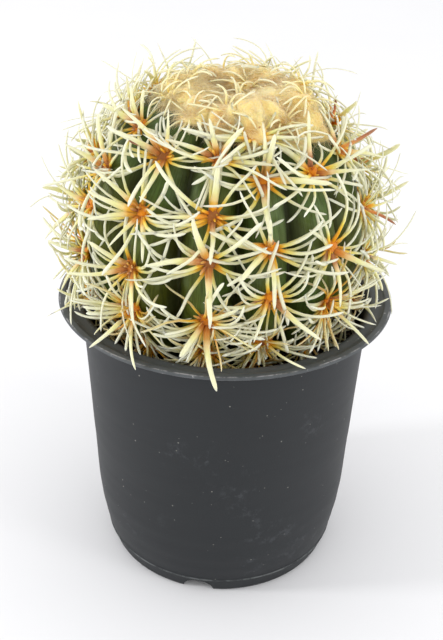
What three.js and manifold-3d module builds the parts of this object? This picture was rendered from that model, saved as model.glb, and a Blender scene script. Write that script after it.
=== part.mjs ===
// A round ribbed cactus in a plastic nursery pot. Millimetres, Z up. The origin is the middle of the
// pot's underside, on the surface that the pot stands on, and the front of the plant faces -Y.
import * as THREE from 'three';
import { mergeVertices } from 'three/addons/utils/BufferGeometryUtils.js';
import Module from 'manifold-3d';

const wasm = await Module();
wasm.setup();

// The pot: a thin moulded wall, a nearly flat flared rim, and a raised floor inside a foot ring.
const POT_HEIGHT = 106.5;
const RIM_RADIUS = 60;
const RIM_THICKNESS = 1.3;
const RIM_DISH = 1.0;
const RIM_BEND = 1.6;
const LIP_WIDTH = 3.2;
const LIP_RISE = 0.5;
const LIP_ROUND = 0.9;
const WALL_TOP_RADIUS = 52;
const WALL_KNEE_RADIUS = 48.2;
const WALL_KNEE_HEIGHT = 31;
const FOOT_RADIUS = 43.1;
const FOOT_STEP_HEIGHT = 4.8;
const FOOT_STEP_DEPTH = 0.4;
const FOOT_RING_WIDTH = 4;
const WALL = 1.3;
const WALL_HEIGHTS = [21, WALL_KNEE_HEIGHT, 68];
const FLOOR_UNDERSIDE = 4.6;
const FLOOR_TOP = 6;
const POT_SIDES = 44;
const NOTCH_COUNT = 4;
const NOTCH_AZIMUTH = -9.7;
const NOTCH_WIDTH = 11.6;
const NOTCH_HEIGHT = 3.4;
const NOTCH_SQUARENESS = 0.9;
const DRAIN_RADIUS = 4;
const DRAIN_RING = 32;
const CUT_SLACK = 10;

// The soil fills the pot to a little under the rim.
const SOIL_TOP = 91;
const SOIL_SHOULDER = 1;
const SOIL_SHOULDER_WIDTH = 3;
const GAP = 0.3;

// The stem: a ribbed globe that leans a little to the right and to the front.
const STEM_CENTRE = new THREE.Vector3(-1.4, 0, 132);
const STEM_RADIUS = 49;
const STEM_HALF_HEIGHT = 51;
const LEAN_RIGHT = 1.4;
const LEAN_FRONT = 4.6;
const RIBS = 13;
const FIRST_RIB = 19.7;
const GROOVE_DEPTH = 0.2;
const GROOVE_FADE = [0.05, 0.45];
const CROWN_SINK = 8;
const CROWN_LATITUDE = 60;
const ROOT_RADIUS = 9;
const ROOT_END = 62;
const ROOT_TOP = 97.7;
const STEM_ROWS = 16;
const SIDES_PER_RIB = 6;

// Each rib's lowest areole and the step to the next one up, in degrees of latitude.
const AREOLE_ROWS = [
  { low: -21, step: 20 },
  { low: -33, step: 23.5 },
  { low: -25, step: 22 },
  { low: -14, step: 19.5 },
  { low: -24, step: 21 },
  { low: -13, step: 20 },
  { low: -27, step: 22 },
  { low: -17, step: 21 },
  { low: -25, step: 20 },
  { low: -14, step: 22 },
  { low: -22, step: 17.5 },
  { low: -14, step: 20 },
  { low: -28, step: 19.5 },
];
const HIGHEST_AREOLE = 58;
const LOWEST_AREOLE = -30;
const AREOLE_SCATTER = 1.5;

// Spines: thin ones that radiate and arch back to the skin, and flat lance-shaped central ones.
const RADIAL_COUNT = 6;
const RADIAL_LENGTH = 17.5;
const RADIAL_WIDTH = 1.3;
const RADIAL_THICKNESS = 1.1;
const RADIAL_RISE = 34;
const RADIAL_LAYER_RISE = 12;
const RADIAL_ARCH = 34;
const RADIAL_SPREAD = 1.5;
const CENTRAL_LENGTH = 20;
const CENTRAL_WIDTH = 2.6;
const CENTRAL_THICKNESS = 1.3;
const CENTRAL_RISE = 62;
const CENTRAL_ARCH = 12;
const CENTRAL_SPREAD = 0.3;
const ROOT_DEPTH = 2.4;
const SPINE_REACH = 65.6;
const SPINE_MARGIN = 1.2;
const STEM_MARGIN = 1.02;
const TRIES = 7;
const SPINE_FRONT = 0.65;

// The crown: a lumpy cap of felted wool, off the axis to the right, with young spines through it.
const WOOL_EDGE = 31.5;
const WOOL_EDGE_SHIFT = 4.5;
const WOOL_EDGE_WAVE = 1.6;
const WOOL_MARGIN = 1.6;
const WOOL_SEAT = 0.8;
const WOOL_THICKNESS = 6.6;
const WOOL_EDGE_THICKNESS = 0.9;
const WOOL_LUMPS = 0.3;
const WOOL_SIDES_PER_RIB = 4;
const WOOL_UNDER_RINGS = 4;
const WOOL_TOP_RINGS = 6;
const YOUNG_TUFTS = 7;
const YOUNG_SPINES = 6;
const YOUNG_LENGTH = 13;
const YOUNG_WIDTH = 1;
const YOUNG_THICKNESS = 0.9;
const YOUNG_RISE = 56;
const YOUNG_ARCH = 22;
const YOUNG_SPREAD = 0.6;
const YOUNG_LEAN = 0.35;
const YOUNG_SEAT = 3.4;
const YOUNG_RING = 0.56;
const MERGE_DISTANCE = 1e-4;

const rad = THREE.MathUtils.degToRad;
const clamp = THREE.MathUtils.clamp;
const lerp = THREE.MathUtils.lerp;
const smooth = THREE.MathUtils.smoothstep;

// A repeatable number from -1 to 1 for three whole numbers: the same spine always gets the same one.
function wobble(a, b, c) {
  const s = Math.sin(a * 12.9898 + b * 78.233 + c * 37.719) * 43758.5453;
  return 2 * (s - Math.floor(s)) - 1;
}

// A closed three.js geometry as a solid, with its shared corners merged.
function solidOf(geometry) {
  const bare = geometry.clone();
  bare.deleteAttribute('normal');
  bare.deleteAttribute('uv');
  const merged = mergeVertices(bare, MERGE_DISTANCE);
  const mesh = new wasm.Mesh({
    numProp: 3,
    vertProperties: new Float32Array(merged.attributes.position.array),
    triVerts: new Uint32Array(merged.index.array),
  });
  return new wasm.Manifold(mesh);
}

function geometryOf(solid) {
  const mesh = solid.getMesh();
  const geometry = new THREE.BufferGeometry();
  geometry.setAttribute('position', new THREE.BufferAttribute(mesh.vertProperties, 3));
  geometry.setIndex(new THREE.BufferAttribute(mesh.triVerts, 1));
  geometry.computeVertexNormals();
  return geometry;
}

function material(colour, roughness) {
  return new THREE.MeshStandardMaterial({ color: colour, roughness, metalness: 0 });
}

function part(name, geometry, look) {
  const mesh = new THREE.Mesh(geometry, look);
  mesh.name = name;
  return mesh;
}

// A turned solid about the Z axis from [radius, height] pairs that start and end on the axis.
function turned(outline, sides) {
  const points = outline.map(([radius, height]) => new THREE.Vector2(radius, height));
  return new THREE.LatheGeometry(points, sides).rotateX(Math.PI / 2);
}

// A closed skin from a grid of rows of points, with one point below the first row and one above the
// last. Rows go up, and points go round from the front to the right, so the faces point out.
function skin(rows, bottom, top) {
  const count = rows[0].length;
  const points = [bottom, ...rows.flat(), top];
  const index = [];
  const at = (row, k) => 1 + row * count + (k % count);
  for (let k = 0; k < count; k += 1) {
    index.push(0, at(0, k + 1), at(0, k));
    index.push(points.length - 1, at(rows.length - 1, k), at(rows.length - 1, k + 1));
    for (let row = 0; row + 1 < rows.length; row += 1) {
      index.push(at(row, k), at(row, k + 1), at(row + 1, k + 1));
      index.push(at(row, k), at(row + 1, k + 1), at(row + 1, k));
    }
  }
  const geometry = new THREE.BufferGeometry().setFromPoints(points);
  geometry.setIndex(index);
  return geometry;
}

// The wall's outer radius at a height: nearly straight above the knee, rounding in below it.
function wallRadius(height) {
  if (height >= WALL_KNEE_HEIGHT) {
    const share = (height - WALL_KNEE_HEIGHT) / (POT_HEIGHT - WALL_KNEE_HEIGHT);
    return lerp(WALL_KNEE_RADIUS, WALL_TOP_RADIUS, share);
  }
  const share = 1 - height / WALL_KNEE_HEIGHT;
  return lerp(WALL_KNEE_RADIUS, FOOT_RADIUS, share ** 1.6);
}

// The pot's section: up the outside from the foot ring, over the rim's lip, and down the inside.
function potOutline() {
  const flange = POT_HEIGHT - RIM_DISH;
  const ringInside = FOOT_RADIUS - FOOT_RING_WIDTH;
  const outside = [FOOT_STEP_HEIGHT + FOOT_STEP_DEPTH, 12, ...WALL_HEIGHTS];
  const inside = [...WALL_HEIGHTS.toReversed(), FLOOR_TOP + 2];
  return [
    [0, FLOOR_UNDERSIDE],
    [ringInside - 1, FLOOR_UNDERSIDE],
    [ringInside, 0],
    [FOOT_RADIUS - FOOT_STEP_DEPTH - 1, 0],
    ...[1, FOOT_STEP_HEIGHT].map((z) => [wallRadius(z) - FOOT_STEP_DEPTH, z]),
    ...outside.map((z) => [wallRadius(z), z]),
    [WALL_TOP_RADIUS, flange - RIM_THICKNESS - RIM_BEND],
    [WALL_TOP_RADIUS + 1, flange - RIM_THICKNESS],
    [RIM_RADIUS - LIP_ROUND, POT_HEIGHT - RIM_BEND],
    [RIM_RADIUS, POT_HEIGHT - LIP_ROUND],
    [RIM_RADIUS - LIP_ROUND / 2, POT_HEIGHT],
    [RIM_RADIUS - LIP_WIDTH + LIP_ROUND, POT_HEIGHT],
    [RIM_RADIUS - LIP_WIDTH, POT_HEIGHT - LIP_RISE],
    [WALL_TOP_RADIUS + 0.6, flange],
    [WALL_TOP_RADIUS - WALL, flange - RIM_BEND],
    ...inside.map((z) => [wallRadius(z) - WALL, z]),
    [ringInside, FLOOR_TOP],
    [0, FLOOR_TOP],
  ];
}

// An arched drain notch, as a bar from the axis out through the foot ring.
function notchCutter(azimuth) {
  const half = NOTCH_WIDTH / 2;
  const shape = new THREE.Shape();
  shape.moveTo(-half, -CUT_SLACK);
  shape.lineTo(half, -CUT_SLACK);
  shape.lineTo(half, 0);
  shape.quadraticCurveTo(half * NOTCH_SQUARENESS, NOTCH_HEIGHT, 0, NOTCH_HEIGHT);
  shape.quadraticCurveTo(-half * NOTCH_SQUARENESS, NOTCH_HEIGHT, -half, 0);
  shape.closePath();
  const bar = new THREE.ExtrudeGeometry(shape, {
    depth: FOOT_RADIUS + CUT_SLACK,
    bevelEnabled: false,
    curveSegments: 5,
  });
  return solidOf(bar.rotateX(Math.PI / 2).rotateZ(rad(azimuth)));
}

// A round drain hole through the floor, at a distance from the middle.
function drainCutter(azimuth, distance) {
  const hole = new THREE.CylinderGeometry(DRAIN_RADIUS, DRAIN_RADIUS, CUT_SLACK, 12);
  hole.rotateX(Math.PI / 2);
  hole.translate(Math.sin(rad(azimuth)) * distance, -Math.cos(rad(azimuth)) * distance, FLOOR_TOP);
  return solidOf(hole);
}

function pot() {
  let solid = solidOf(turned(potOutline(), POT_SIDES)).subtract(drainCutter(0, 0));
  for (let k = 0; k < NOTCH_COUNT; k += 1) {
    const azimuth = NOTCH_AZIMUTH + (k * 360) / NOTCH_COUNT;
    solid = solid.subtract(notchCutter(azimuth)).subtract(drainCutter(azimuth, DRAIN_RING));
  }
  return part('pot', geometryOf(solid), material(0x3b3d40, 0.45));
}

const lean = new THREE.Matrix4()
  .makeRotationX(rad(LEAN_FRONT))
  .multiply(new THREE.Matrix4().makeRotationY(rad(LEAN_RIGHT)))
  .setPosition(STEM_CENTRE);
const upright = lean.clone().invert();
const stemFoot = new THREE.Vector3(0, 0, -STEM_HALF_HEIGHT).applyMatrix4(lean);

// The azimuth from the front towards the right, at a share from -0.5 to 0.5 of the way across a rib.
// The share 0 is the rib's crest.
function ribAzimuth(rib, share = 0) {
  return rad(FIRST_RIB + ((rib + share) * 360) / RIBS);
}

// A ring of points, some for each rib, where pointAt takes the rib and the share across it.
function ringOnRibs(perRib, pointAt) {
  const ring = [];
  for (let k = 0; k < RIBS * perRib; k += 1) {
    ring.push(pointAt(Math.floor(k / perRib), (k % perRib) / perRib - 0.5));
  }
  return ring;
}

// A point of the stem: an ellipse from pole to pole, sunk at the crown. Across a rib the radius
// falls with the square of the distance from the crest, and the grooves fade out at both poles.
function stemPoint(latitude, rib, share, lift = 0) {
  const azimuth = ribAzimuth(rib, share);
  const t = rad(latitude);
  const fade = smooth(Math.cos(t), ...GROOVE_FADE);
  const groove = 1 - GROOVE_DEPTH * fade * (2 * share) ** 2;
  const across = (STEM_RADIUS + lift) * Math.cos(t) * groove;
  const sink = CROWN_SINK * smooth(latitude, CROWN_LATITUDE, 90);
  const up = (STEM_HALF_HEIGHT + lift) * Math.sin(t) - sink;
  return new THREE.Vector3(Math.sin(azimuth) * across, -Math.cos(azimuth) * across, up);
}

function stemSkin() {
  const rows = [];
  for (let k = 1; k <= STEM_ROWS; k += 1) {
    const latitude = -90 + (k * 180) / (STEM_ROWS + 1);
    rows.push(ringOnRibs(SIDES_PER_RIB, (rib, share) => stemPoint(latitude, rib, share)));
  }
  return skin(rows, stemPoint(-90, 0, 0), stemPoint(90, 0, 0)).applyMatrix4(lean);
}

// The rootstock is a plain peg under the stem, and with a lift, the hole that it stands in.
function rootStock(lift) {
  const bottom = ROOT_END - lift;
  const radius = ROOT_RADIUS + lift;
  const stock = new THREE.CylinderGeometry(radius, radius, ROOT_TOP - bottom, 20);
  return stock.rotateX(Math.PI / 2).translate(stemFoot.x, stemFoot.y, (ROOT_TOP + bottom) / 2);
}

// The soil: the inside of the pot up to its level, less a plain hollow for the stem and its root.
function soil() {
  const inside = (z) => wallRadius(z) - WALL - GAP;
  const outline = [
    [0, FLOOR_TOP + GAP],
    [FOOT_RADIUS - FOOT_RING_WIDTH - 1, FLOOR_TOP + GAP],
    ...[FLOOR_TOP + 2.5, ...WALL_HEIGHTS].map((z) => [inside(z), z]),
    [inside(SOIL_TOP), SOIL_TOP - SOIL_SHOULDER],
    [inside(SOIL_TOP) - SOIL_SHOULDER_WIDTH, SOIL_TOP],
    [0, SOIL_TOP],
  ];
  const hollow = new THREE.SphereGeometry(1, 26, 16).rotateX(Math.PI / 2);
  const across = STEM_RADIUS + 2 * GAP;
  hollow.scale(across, across, STEM_HALF_HEIGHT + 2 * GAP).applyMatrix4(lean);
  const solid = solidOf(turned(outline, POT_SIDES))
    .subtract(solidOf(hollow))
    .subtract(solidOf(rootStock(GAP)));
  return part('soil', geometryOf(solid), material(0x2b211a, 0.95));
}

// An areole is the felted spot that a star of spines grows from. This is where one sits on a rib,
// with its outward, upward and sideways directions.
function areoleAt(latitude, rib) {
  const place = stemPoint(latitude, rib, 0).applyMatrix4(lean);
  const step = 2;
  const above = stemPoint(latitude + step, rib, 0).applyMatrix4(lean);
  const below = stemPoint(latitude - step, rib, 0).applyMatrix4(lean);
  const up = above.sub(below).normalize();
  const azimuth = ribAzimuth(rib);
  const side = new THREE.Vector3(Math.cos(azimuth), Math.sin(azimuth), 0).transformDirection(lean);
  const out = new THREE.Vector3().crossVectors(side, up).normalize();
  return { place, out, up, side };
}

function areoles() {
  const list = [];
  AREOLE_ROWS.forEach(({ low, step }, rib) => {
    for (let row = 0; low + row * step <= HIGHEST_AREOLE; row += 1) {
      const latitude = low + row * step + AREOLE_SCATTER * wobble(rib, row, 1);
      if (latitude > LOWEST_AREOLE) {
        list.push({ rib, row, latitude, ...areoleAt(latitude, rib) });
      }
    }
  });
  return list;
}

// A spine's course from its root: it leaves in one direction and arches towards another.
function spineCourse(areole, turn, rise, length, arch, spread) {
  const { place, out, up, side } = areole;
  const flat = up.clone().multiplyScalar(Math.cos(turn)).addScaledVector(side, Math.sin(turn));
  const start = flat.clone().multiplyScalar(Math.cos(rise)).addScaledVector(out, Math.sin(rise));
  const bent = rise - arch;
  const end = flat.clone().multiplyScalar(Math.cos(bent)).addScaledVector(out, Math.sin(bent));
  const root = place.clone().addScaledVector(flat, spread).addScaledVector(start, -ROOT_DEPTH);
  const middle = root.clone().addScaledVector(start, ROOT_DEPTH + length * 0.5);
  const tip = middle.clone().addScaledVector(end, length * 0.5);
  return { root, middle, tip, out };
}

// Points along a course, from a share of its first half out to the tip.
function samples(course, from) {
  const list = [];
  for (const share of [from, 0.6, 0.8, 1]) {
    list.push(course.root.clone().lerp(course.middle, share));
  }
  for (const share of [0.25, 0.5, 0.75, 1]) {
    list.push(course.middle.clone().lerp(course.tip, share));
  }
  return list;
}

// Whether a point keeps clear of the pot's wall and rim and of the soil.
function clearOfPot(point) {
  const reach = Math.hypot(point.x, point.y);
  const overRim = point.z > POT_HEIGHT + SPINE_MARGIN || reach > RIM_RADIUS + SPINE_MARGIN;
  const withinWall = reach < WALL_TOP_RADIUS - WALL - SPINE_MARGIN;
  const insideWall = withinWall && point.z > SOIL_TOP + SPINE_MARGIN;
  return overRim || insideWall;
}

function clearOfStem(point) {
  const p = point.clone().applyMatrix4(upright);
  const shell = Math.hypot(p.x / STEM_RADIUS, p.y / STEM_RADIUS, p.z / STEM_HALF_HEIGHT);
  return shell > STEM_MARGIN;
}

// The polar angle of the wool's edge at an azimuth: further down on the right, and uneven.
function woolEdge(azimuth) {
  return WOOL_EDGE + WOOL_EDGE_SHIFT * Math.sin(azimuth) + WOOL_EDGE_WAVE * Math.sin(3 * azimuth + 1);
}

// The wool's height over the stem at a share of the way from the apex to the wool's edge: a low ring
// of tufts round a slight hollow, thin at the edge.
function woolHeight(share, azimuth) {
  const ring = 0.6 + 0.4 * Math.sin(Math.PI * clamp(share, 0, 1) ** 0.8);
  const broad = Math.sin(5 * azimuth + 0.6) * Math.sin(7 * share + 1);
  const fine = 0.7 * Math.sin(8 * azimuth + 5 * share);
  const edge = 1 - smooth(share, 0.45, 1);
  const lumps = 1 + WOOL_LUMPS * (broad + fine) * share;
  return WOOL_EDGE_THICKNESS + WOOL_THICKNESS * edge * ring * lumps;
}

// A point over the stem's crown, across one rib, at a share of the way out to the wool's edge.
function crownPoint(share, rib, across, lift) {
  const latitude = 90 - share * woolEdge(ribAzimuth(rib, across));
  return stemPoint(latitude, rib, across, lift).applyMatrix4(lean);
}

function clearOfWool(point) {
  const p = point.clone().applyMatrix4(upright);
  const azimuth = Math.atan2(p.x, -p.y);
  const outward = Math.hypot(p.x, p.y) / STEM_RADIUS;
  const upward = p.z / STEM_HALF_HEIGHT;
  const share = THREE.MathUtils.radToDeg(Math.atan2(outward, upward)) / woolEdge(azimuth);
  const height = woolHeight(Math.min(share, 1), azimuth) + WOOL_MARGIN;
  return share > 1.12 || Math.hypot(outward, upward) > 1 + height / STEM_RADIUS;
}

// The least distance between two straight pieces of spine.
function pieceDistance(a, b) {
  const u = a[1].clone().sub(a[0]);
  const v = b[1].clone().sub(b[0]);
  const w = a[0].clone().sub(b[0]);
  const uu = u.dot(u);
  const uv = u.dot(v);
  const vv = v.dot(v);
  const uw = u.dot(w);
  const vw = v.dot(w);
  const spread = uu * vv - uv * uv;
  let s = spread < 1e-6 ? 0 : clamp((uv * vw - vv * uw) / spread, 0, 1);
  const t = clamp((uv * s + vw) / vv, 0, 1);
  s = clamp((uv * t - uw) / uu, 0, 1);
  return a[0].clone().addScaledVector(u, s).distanceTo(b[0].clone().addScaledVector(v, t));
}

function pieces(course) {
  const start = course.root.clone().lerp(course.middle, 0.62);
  return [[start, course.middle], [course.middle, course.tip]];
}

function clearOfSpines(course, others) {
  for (const other of others) {
    if (course.tip.distanceTo(other.root) > 2.3 * RADIAL_LENGTH) {
      continue;
    }
    for (const a of pieces(course)) {
      for (const b of pieces(other)) {
        if (pieceDistance(a, b) < (course.width + other.width) / 2 + 0.15) {
          return false;
        }
      }
    }
  }
  return true;
}

// A three-sided spine: its root end, a middle where it is widest, and a point.
function spineSolid(course) {
  const { root, middle, tip, out, width, thickness } = course;
  const along = tip.clone().sub(root).normalize();
  const across = new THREE.Vector3().crossVectors(out, along).normalize();
  const front = new THREE.Vector3().crossVectors(along, across).normalize();
  const ring = (centre, scale) => {
    const back = centre.clone().addScaledVector(front, (SPINE_FRONT - 1) * thickness * scale);
    return [
      back.clone().addScaledVector(across, -0.5 * width * scale),
      back.clone().addScaledVector(across, 0.5 * width * scale),
      centre.clone().addScaledVector(front, SPINE_FRONT * thickness * scale),
    ];
  };
  const points = [...ring(root, course.rootScale), ...ring(middle, 1), tip];
  const index = [0, 2, 1];
  for (let k = 0; k < 3; k += 1) {
    const next = (k + 1) % 3;
    index.push(k, next, 3 + next, k, 3 + next, 3 + k, 3 + k, 3 + next, 6);
  }
  const geometry = new THREE.BufferGeometry().setFromPoints(points);
  geometry.setIndex(index);
  return solidOf(geometry);
}

// The first of a few courses, each swung further, that clears everything already there.
function settle(courseAt, others, isClear) {
  for (let k = 0; k < TRIES; k += 1) {
    const course = courseAt(k);
    const reach = Math.hypot(course.tip.x, course.tip.y);
    if (reach > SPINE_REACH) {
      const base = Math.hypot(course.middle.x, course.middle.y);
      course.tip.lerp(course.middle, clamp((reach - SPINE_REACH) / (reach - base), 0, 0.6));
    }
    if (samples(course, 0.45).every(isClear) && clearOfSpines(course, others)) {
      return course;
    }
  }
  return null;
}

function swing(k) {
  return (k % 2 === 0 ? 1 : -1) * Math.ceil(k / 2);
}

function centralSpine(areole, n, k) {
  const { rib, row } = areole;
  const turn = rad(180 * n + 35 * wobble(rib, row, 11 + n) + 14 * swing(k));
  const rise = rad(CENTRAL_RISE + 8 * wobble(rib, row, 13 + n) + 3 * k);
  const length = CENTRAL_LENGTH * (1 + 0.1 * wobble(rib, row, 15 + n));
  const course = spineCourse(areole, turn, rise, length, rad(CENTRAL_ARCH), CENTRAL_SPREAD);
  return { ...course, width: CENTRAL_WIDTH, thickness: CENTRAL_THICKNESS, rootScale: 0.6 };
}

function radialSpine(areole, n, k) {
  const { rib, row } = areole;
  const even = (360 * (n + 0.5)) / RADIAL_COUNT;
  const turn = rad(even + 9 * wobble(rib, row, 20 + n) + 5 * swing(k));
  const lift = n % 2 === 0 ? 0 : RADIAL_LAYER_RISE;
  const rise = rad(RADIAL_RISE + lift + 6 * wobble(rib, row, 30 + n) + 5 * k);
  const length = RADIAL_LENGTH * (1 + 0.12 * wobble(rib, row, 40 + n));
  const course = spineCourse(areole, turn, rise, length, rad(RADIAL_ARCH), RADIAL_SPREAD);
  return { ...course, width: RADIAL_WIDTH, thickness: RADIAL_THICKNESS, rootScale: 0.9 };
}

function stemSpines(crownSpines) {
  const placed = [...crownSpines];
  const isClear = (point) => clearOfPot(point) && clearOfStem(point) && clearOfWool(point);
  for (const areole of areoles()) {
    const own = [];
    const makers = [(k) => centralSpine(areole, areole.row % 2, k)];
    for (let n = 0; n < RADIAL_COUNT; n += 1) {
      makers.push((k) => radialSpine(areole, n, k));
    }
    for (const maker of makers) {
      const course = settle(maker, placed, isClear);
      if (course) {
        own.push(course);
      }
    }
    placed.push(...own);
  }
  return placed.slice(crownSpines.length);
}

function cactus(crownSpines) {
  const spines = stemSpines(crownSpines).map(spineSolid);
  const body = solidOf(stemSkin()).add(solidOf(rootStock(0)));
  const solid = wasm.Manifold.union([body, ...spines]);
  return part('cactus', geometryOf(solid), material(0x3f5a2a, 0.5));
}

// Young spines stand in small tufts on every other rib, round the wool, and lean out a little.
function youngSpines() {
  const placed = [];
  for (let tuft = 0; tuft < YOUNG_TUFTS; tuft += 1) {
    const rib = 2 * tuft + 1;
    const azimuth = ribAzimuth(rib);
    const place = crownPoint(YOUNG_RING + 0.12 * wobble(tuft, 0, 52), rib, 0, YOUNG_SEAT);
    const side = new THREE.Vector3(Math.cos(azimuth), Math.sin(azimuth), 0).transformDirection(lean);
    const out = new THREE.Vector3(Math.sin(azimuth), -Math.cos(azimuth), 1 / YOUNG_LEAN).normalize();
    const up = new THREE.Vector3().crossVectors(out, side).normalize();
    for (let n = 0; n < YOUNG_SPINES; n += 1) {
      const turn = (2 * Math.PI * (n + 0.5)) / YOUNG_SPINES + 0.3 * wobble(tuft, n, 53);
      const rise = rad(YOUNG_RISE + 9 * wobble(tuft, n, 54));
      const length = YOUNG_LENGTH * (1 + 0.15 * wobble(tuft, n, 55));
      const tuftFrame = { place, out, up, side };
      const course = spineCourse(tuftFrame, turn, rise, length, rad(YOUNG_ARCH), YOUNG_SPREAD);
      const spine = { ...course, width: YOUNG_WIDTH, thickness: YOUNG_THICKNESS, rootScale: 0.9 };
      if (clearOfSpines(spine, placed)) {
        placed.push(spine);
      }
    }
  }
  return placed;
}

function woolRing(share, height) {
  return ringOnRibs(WOOL_SIDES_PER_RIB, (rib, across) => {
    const lift = height(share, ribAzimuth(rib, across));
    return crownPoint(share, rib, across, WOOL_SEAT + lift);
  });
}

// The wool's underside follows the stem's ribs, and its top is raised from them by its own height.
function woolSkin() {
  const rows = [];
  for (let k = 1; k <= WOOL_UNDER_RINGS; k += 1) {
    rows.push(woolRing(k / WOOL_UNDER_RINGS, () => 0));
  }
  for (let k = WOOL_TOP_RINGS; k >= 1; k -= 1) {
    rows.push(woolRing(k / WOOL_TOP_RINGS, woolHeight));
  }
  const under = crownPoint(0, 0, 0, WOOL_SEAT);
  const top = crownPoint(0, 0, 0, WOOL_SEAT + woolHeight(0, 0));
  return skin(rows, under, top);
}

function crownWool(young) {
  const solid = wasm.Manifold.union([solidOf(woolSkin()), ...young.map(spineSolid)]);
  return part('crown_wool', geometryOf(solid), material(0xe6cd96, 0.95));
}

const pottedCactus = new THREE.Group();
const young = youngSpines();
pottedCactus.add(pot(), soil(), cactus(young), crownWool(young));

export default pottedCactus;
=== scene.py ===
# %% [markdown]
# # A round cactus in a nursery pot
#
# The real thing is a barrel cactus, a hand's breadth across, in a thin plastic pot with a flared rim.
# The measured model gives four solids: the pot, the soil, the stem with its spines, and the wool on
# the crown. Here each one is replaced by a finer surface that keeps its form, and the finishes are
# made from nodes. Lengths in the code are millimetres, and turn into Blender's metres only when a
# mesh is made, because everyone who grows or draws such a plant measures it in millimetres.

import bpy
import numpy as np
from mathutils import Matrix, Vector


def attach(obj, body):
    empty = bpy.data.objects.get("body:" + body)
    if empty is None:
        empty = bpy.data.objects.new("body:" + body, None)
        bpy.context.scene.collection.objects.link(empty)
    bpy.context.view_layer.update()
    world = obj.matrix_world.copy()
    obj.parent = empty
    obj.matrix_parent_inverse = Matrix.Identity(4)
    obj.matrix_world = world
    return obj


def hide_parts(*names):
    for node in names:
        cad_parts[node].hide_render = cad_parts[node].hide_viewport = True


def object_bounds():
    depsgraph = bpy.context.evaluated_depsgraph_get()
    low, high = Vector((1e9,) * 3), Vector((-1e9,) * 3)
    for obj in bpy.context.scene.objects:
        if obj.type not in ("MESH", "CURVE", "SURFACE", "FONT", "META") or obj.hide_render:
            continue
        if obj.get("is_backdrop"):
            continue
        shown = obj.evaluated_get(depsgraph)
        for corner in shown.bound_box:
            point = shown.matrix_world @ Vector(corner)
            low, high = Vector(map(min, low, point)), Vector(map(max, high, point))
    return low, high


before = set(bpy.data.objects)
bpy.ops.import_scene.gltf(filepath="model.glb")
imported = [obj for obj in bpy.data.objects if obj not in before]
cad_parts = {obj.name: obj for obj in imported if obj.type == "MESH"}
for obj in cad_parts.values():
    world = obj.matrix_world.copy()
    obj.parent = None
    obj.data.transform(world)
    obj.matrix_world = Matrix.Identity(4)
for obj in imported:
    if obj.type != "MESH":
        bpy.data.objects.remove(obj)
CAD_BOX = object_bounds()
MM = 0.001
print("nodes:", sorted(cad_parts))

# %% [markdown]
# ## Tools for shapes
#
# Every surface here is a grid of points that numpy works out as whole arrays. A grid needs only a
# table of which four corners make a face, so one helper writes that table and another puts the arrays
# into a mesh. Blender's own primitives would be quicker to call, but a grid keeps the formula of the
# shape in view. Repeatable scatter comes from a folded sine, the same draw that the solids use.

# %% Small mathematical helpers
def wobble(a, b, c):
    """A repeatable draw from -1 to 1: the fraction of a large multiple of a sine, doubled, less one."""
    s = np.sin(a * 12.9898 + b * 78.233 + c * 37.719) * 43758.5453
    return 2 * (s - np.floor(s)) - 1


def smooth(x, low, high):
    """An even S from 0 at low to 1 at high: three t squared less two t cubed."""
    t = np.clip((np.asarray(x, float) - low) / (high - low), 0, 1)
    return t * t * (3 - 2 * t)


def unit(vectors):
    """Each vector over its own length."""
    length = np.linalg.norm(vectors, axis=-1, keepdims=True)
    return vectors / np.maximum(length, 1e-9)


def turn_x(angle):
    """The turn about X by an angle in degrees."""
    c = np.cos(np.radians(angle))
    s = np.sin(np.radians(angle))
    return np.array([[1, 0, 0], [0, c, -s], [0, s, c]])


def turn_y(angle):
    """The turn about Y by an angle in degrees."""
    c = np.cos(np.radians(angle))
    s = np.sin(np.radians(angle))
    return np.array([[c, 0, s], [0, 1, 0], [-s, 0, c]])


print("three draws:", np.round(wobble(np.arange(3), 1, 2), 3))

# %% Grids and meshes
def grid_faces(rows, columns, loops=False):
    """The four corners of each face of a grid whose columns close round. Rows close too if loops is set."""
    row = np.arange(rows if loops else rows - 1)[:, None]
    column = np.arange(columns)[None, :]
    after = (column + 1) % columns
    above = (row + 1) % rows
    corners = [
        row * columns + column,
        row * columns + after,
        above * columns + after,
        above * columns + column,
    ]
    return np.stack(corners, axis=-1).reshape(-1, 4)


def fan_faces(centre, ring_start, columns, upward):
    """Triangles from one centre point to a closed ring, facing up or down."""
    column = np.arange(columns)
    here = ring_start + column
    after = ring_start + (column + 1) % columns
    middle = np.full(columns, centre)
    order = [here, after, middle] if upward else [after, here, middle]
    return np.stack(order, axis=-1)


def make_mesh(name, points, face_sets, marks=None):
    """Puts points in millimetres, several arrays of faces and named values per point into one mesh."""
    mesh = bpy.data.meshes.new(name)
    flat = np.asarray(points, float).reshape(-1, 3) * MM
    corners = np.concatenate([f.ravel() for f in face_sets])
    sizes = np.concatenate([np.full(len(f), f.shape[1]) for f in face_sets])
    mesh.vertices.add(len(flat))
    mesh.vertices.foreach_set("co", flat.astype(np.float32).ravel())
    mesh.loops.add(len(corners))
    mesh.loops.foreach_set("vertex_index", corners.astype(np.int32))
    mesh.polygons.add(len(sizes))
    mesh.polygons.foreach_set("loop_start", (np.cumsum(sizes) - sizes).astype(np.int32))
    mesh.update(calc_edges=True)
    for label, values in (marks or {}).items():
        values = np.asarray(values, np.float32)
        kind = "FLOAT_VECTOR" if values.ndim > 1 and values.shape[-1] == 3 else "FLOAT"
        key = "vector" if kind == "FLOAT_VECTOR" else "value"
        mesh.attributes.new(label, kind, "POINT").data.foreach_set(key, values.ravel())
    mesh.shade_smooth()
    return mesh


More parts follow.
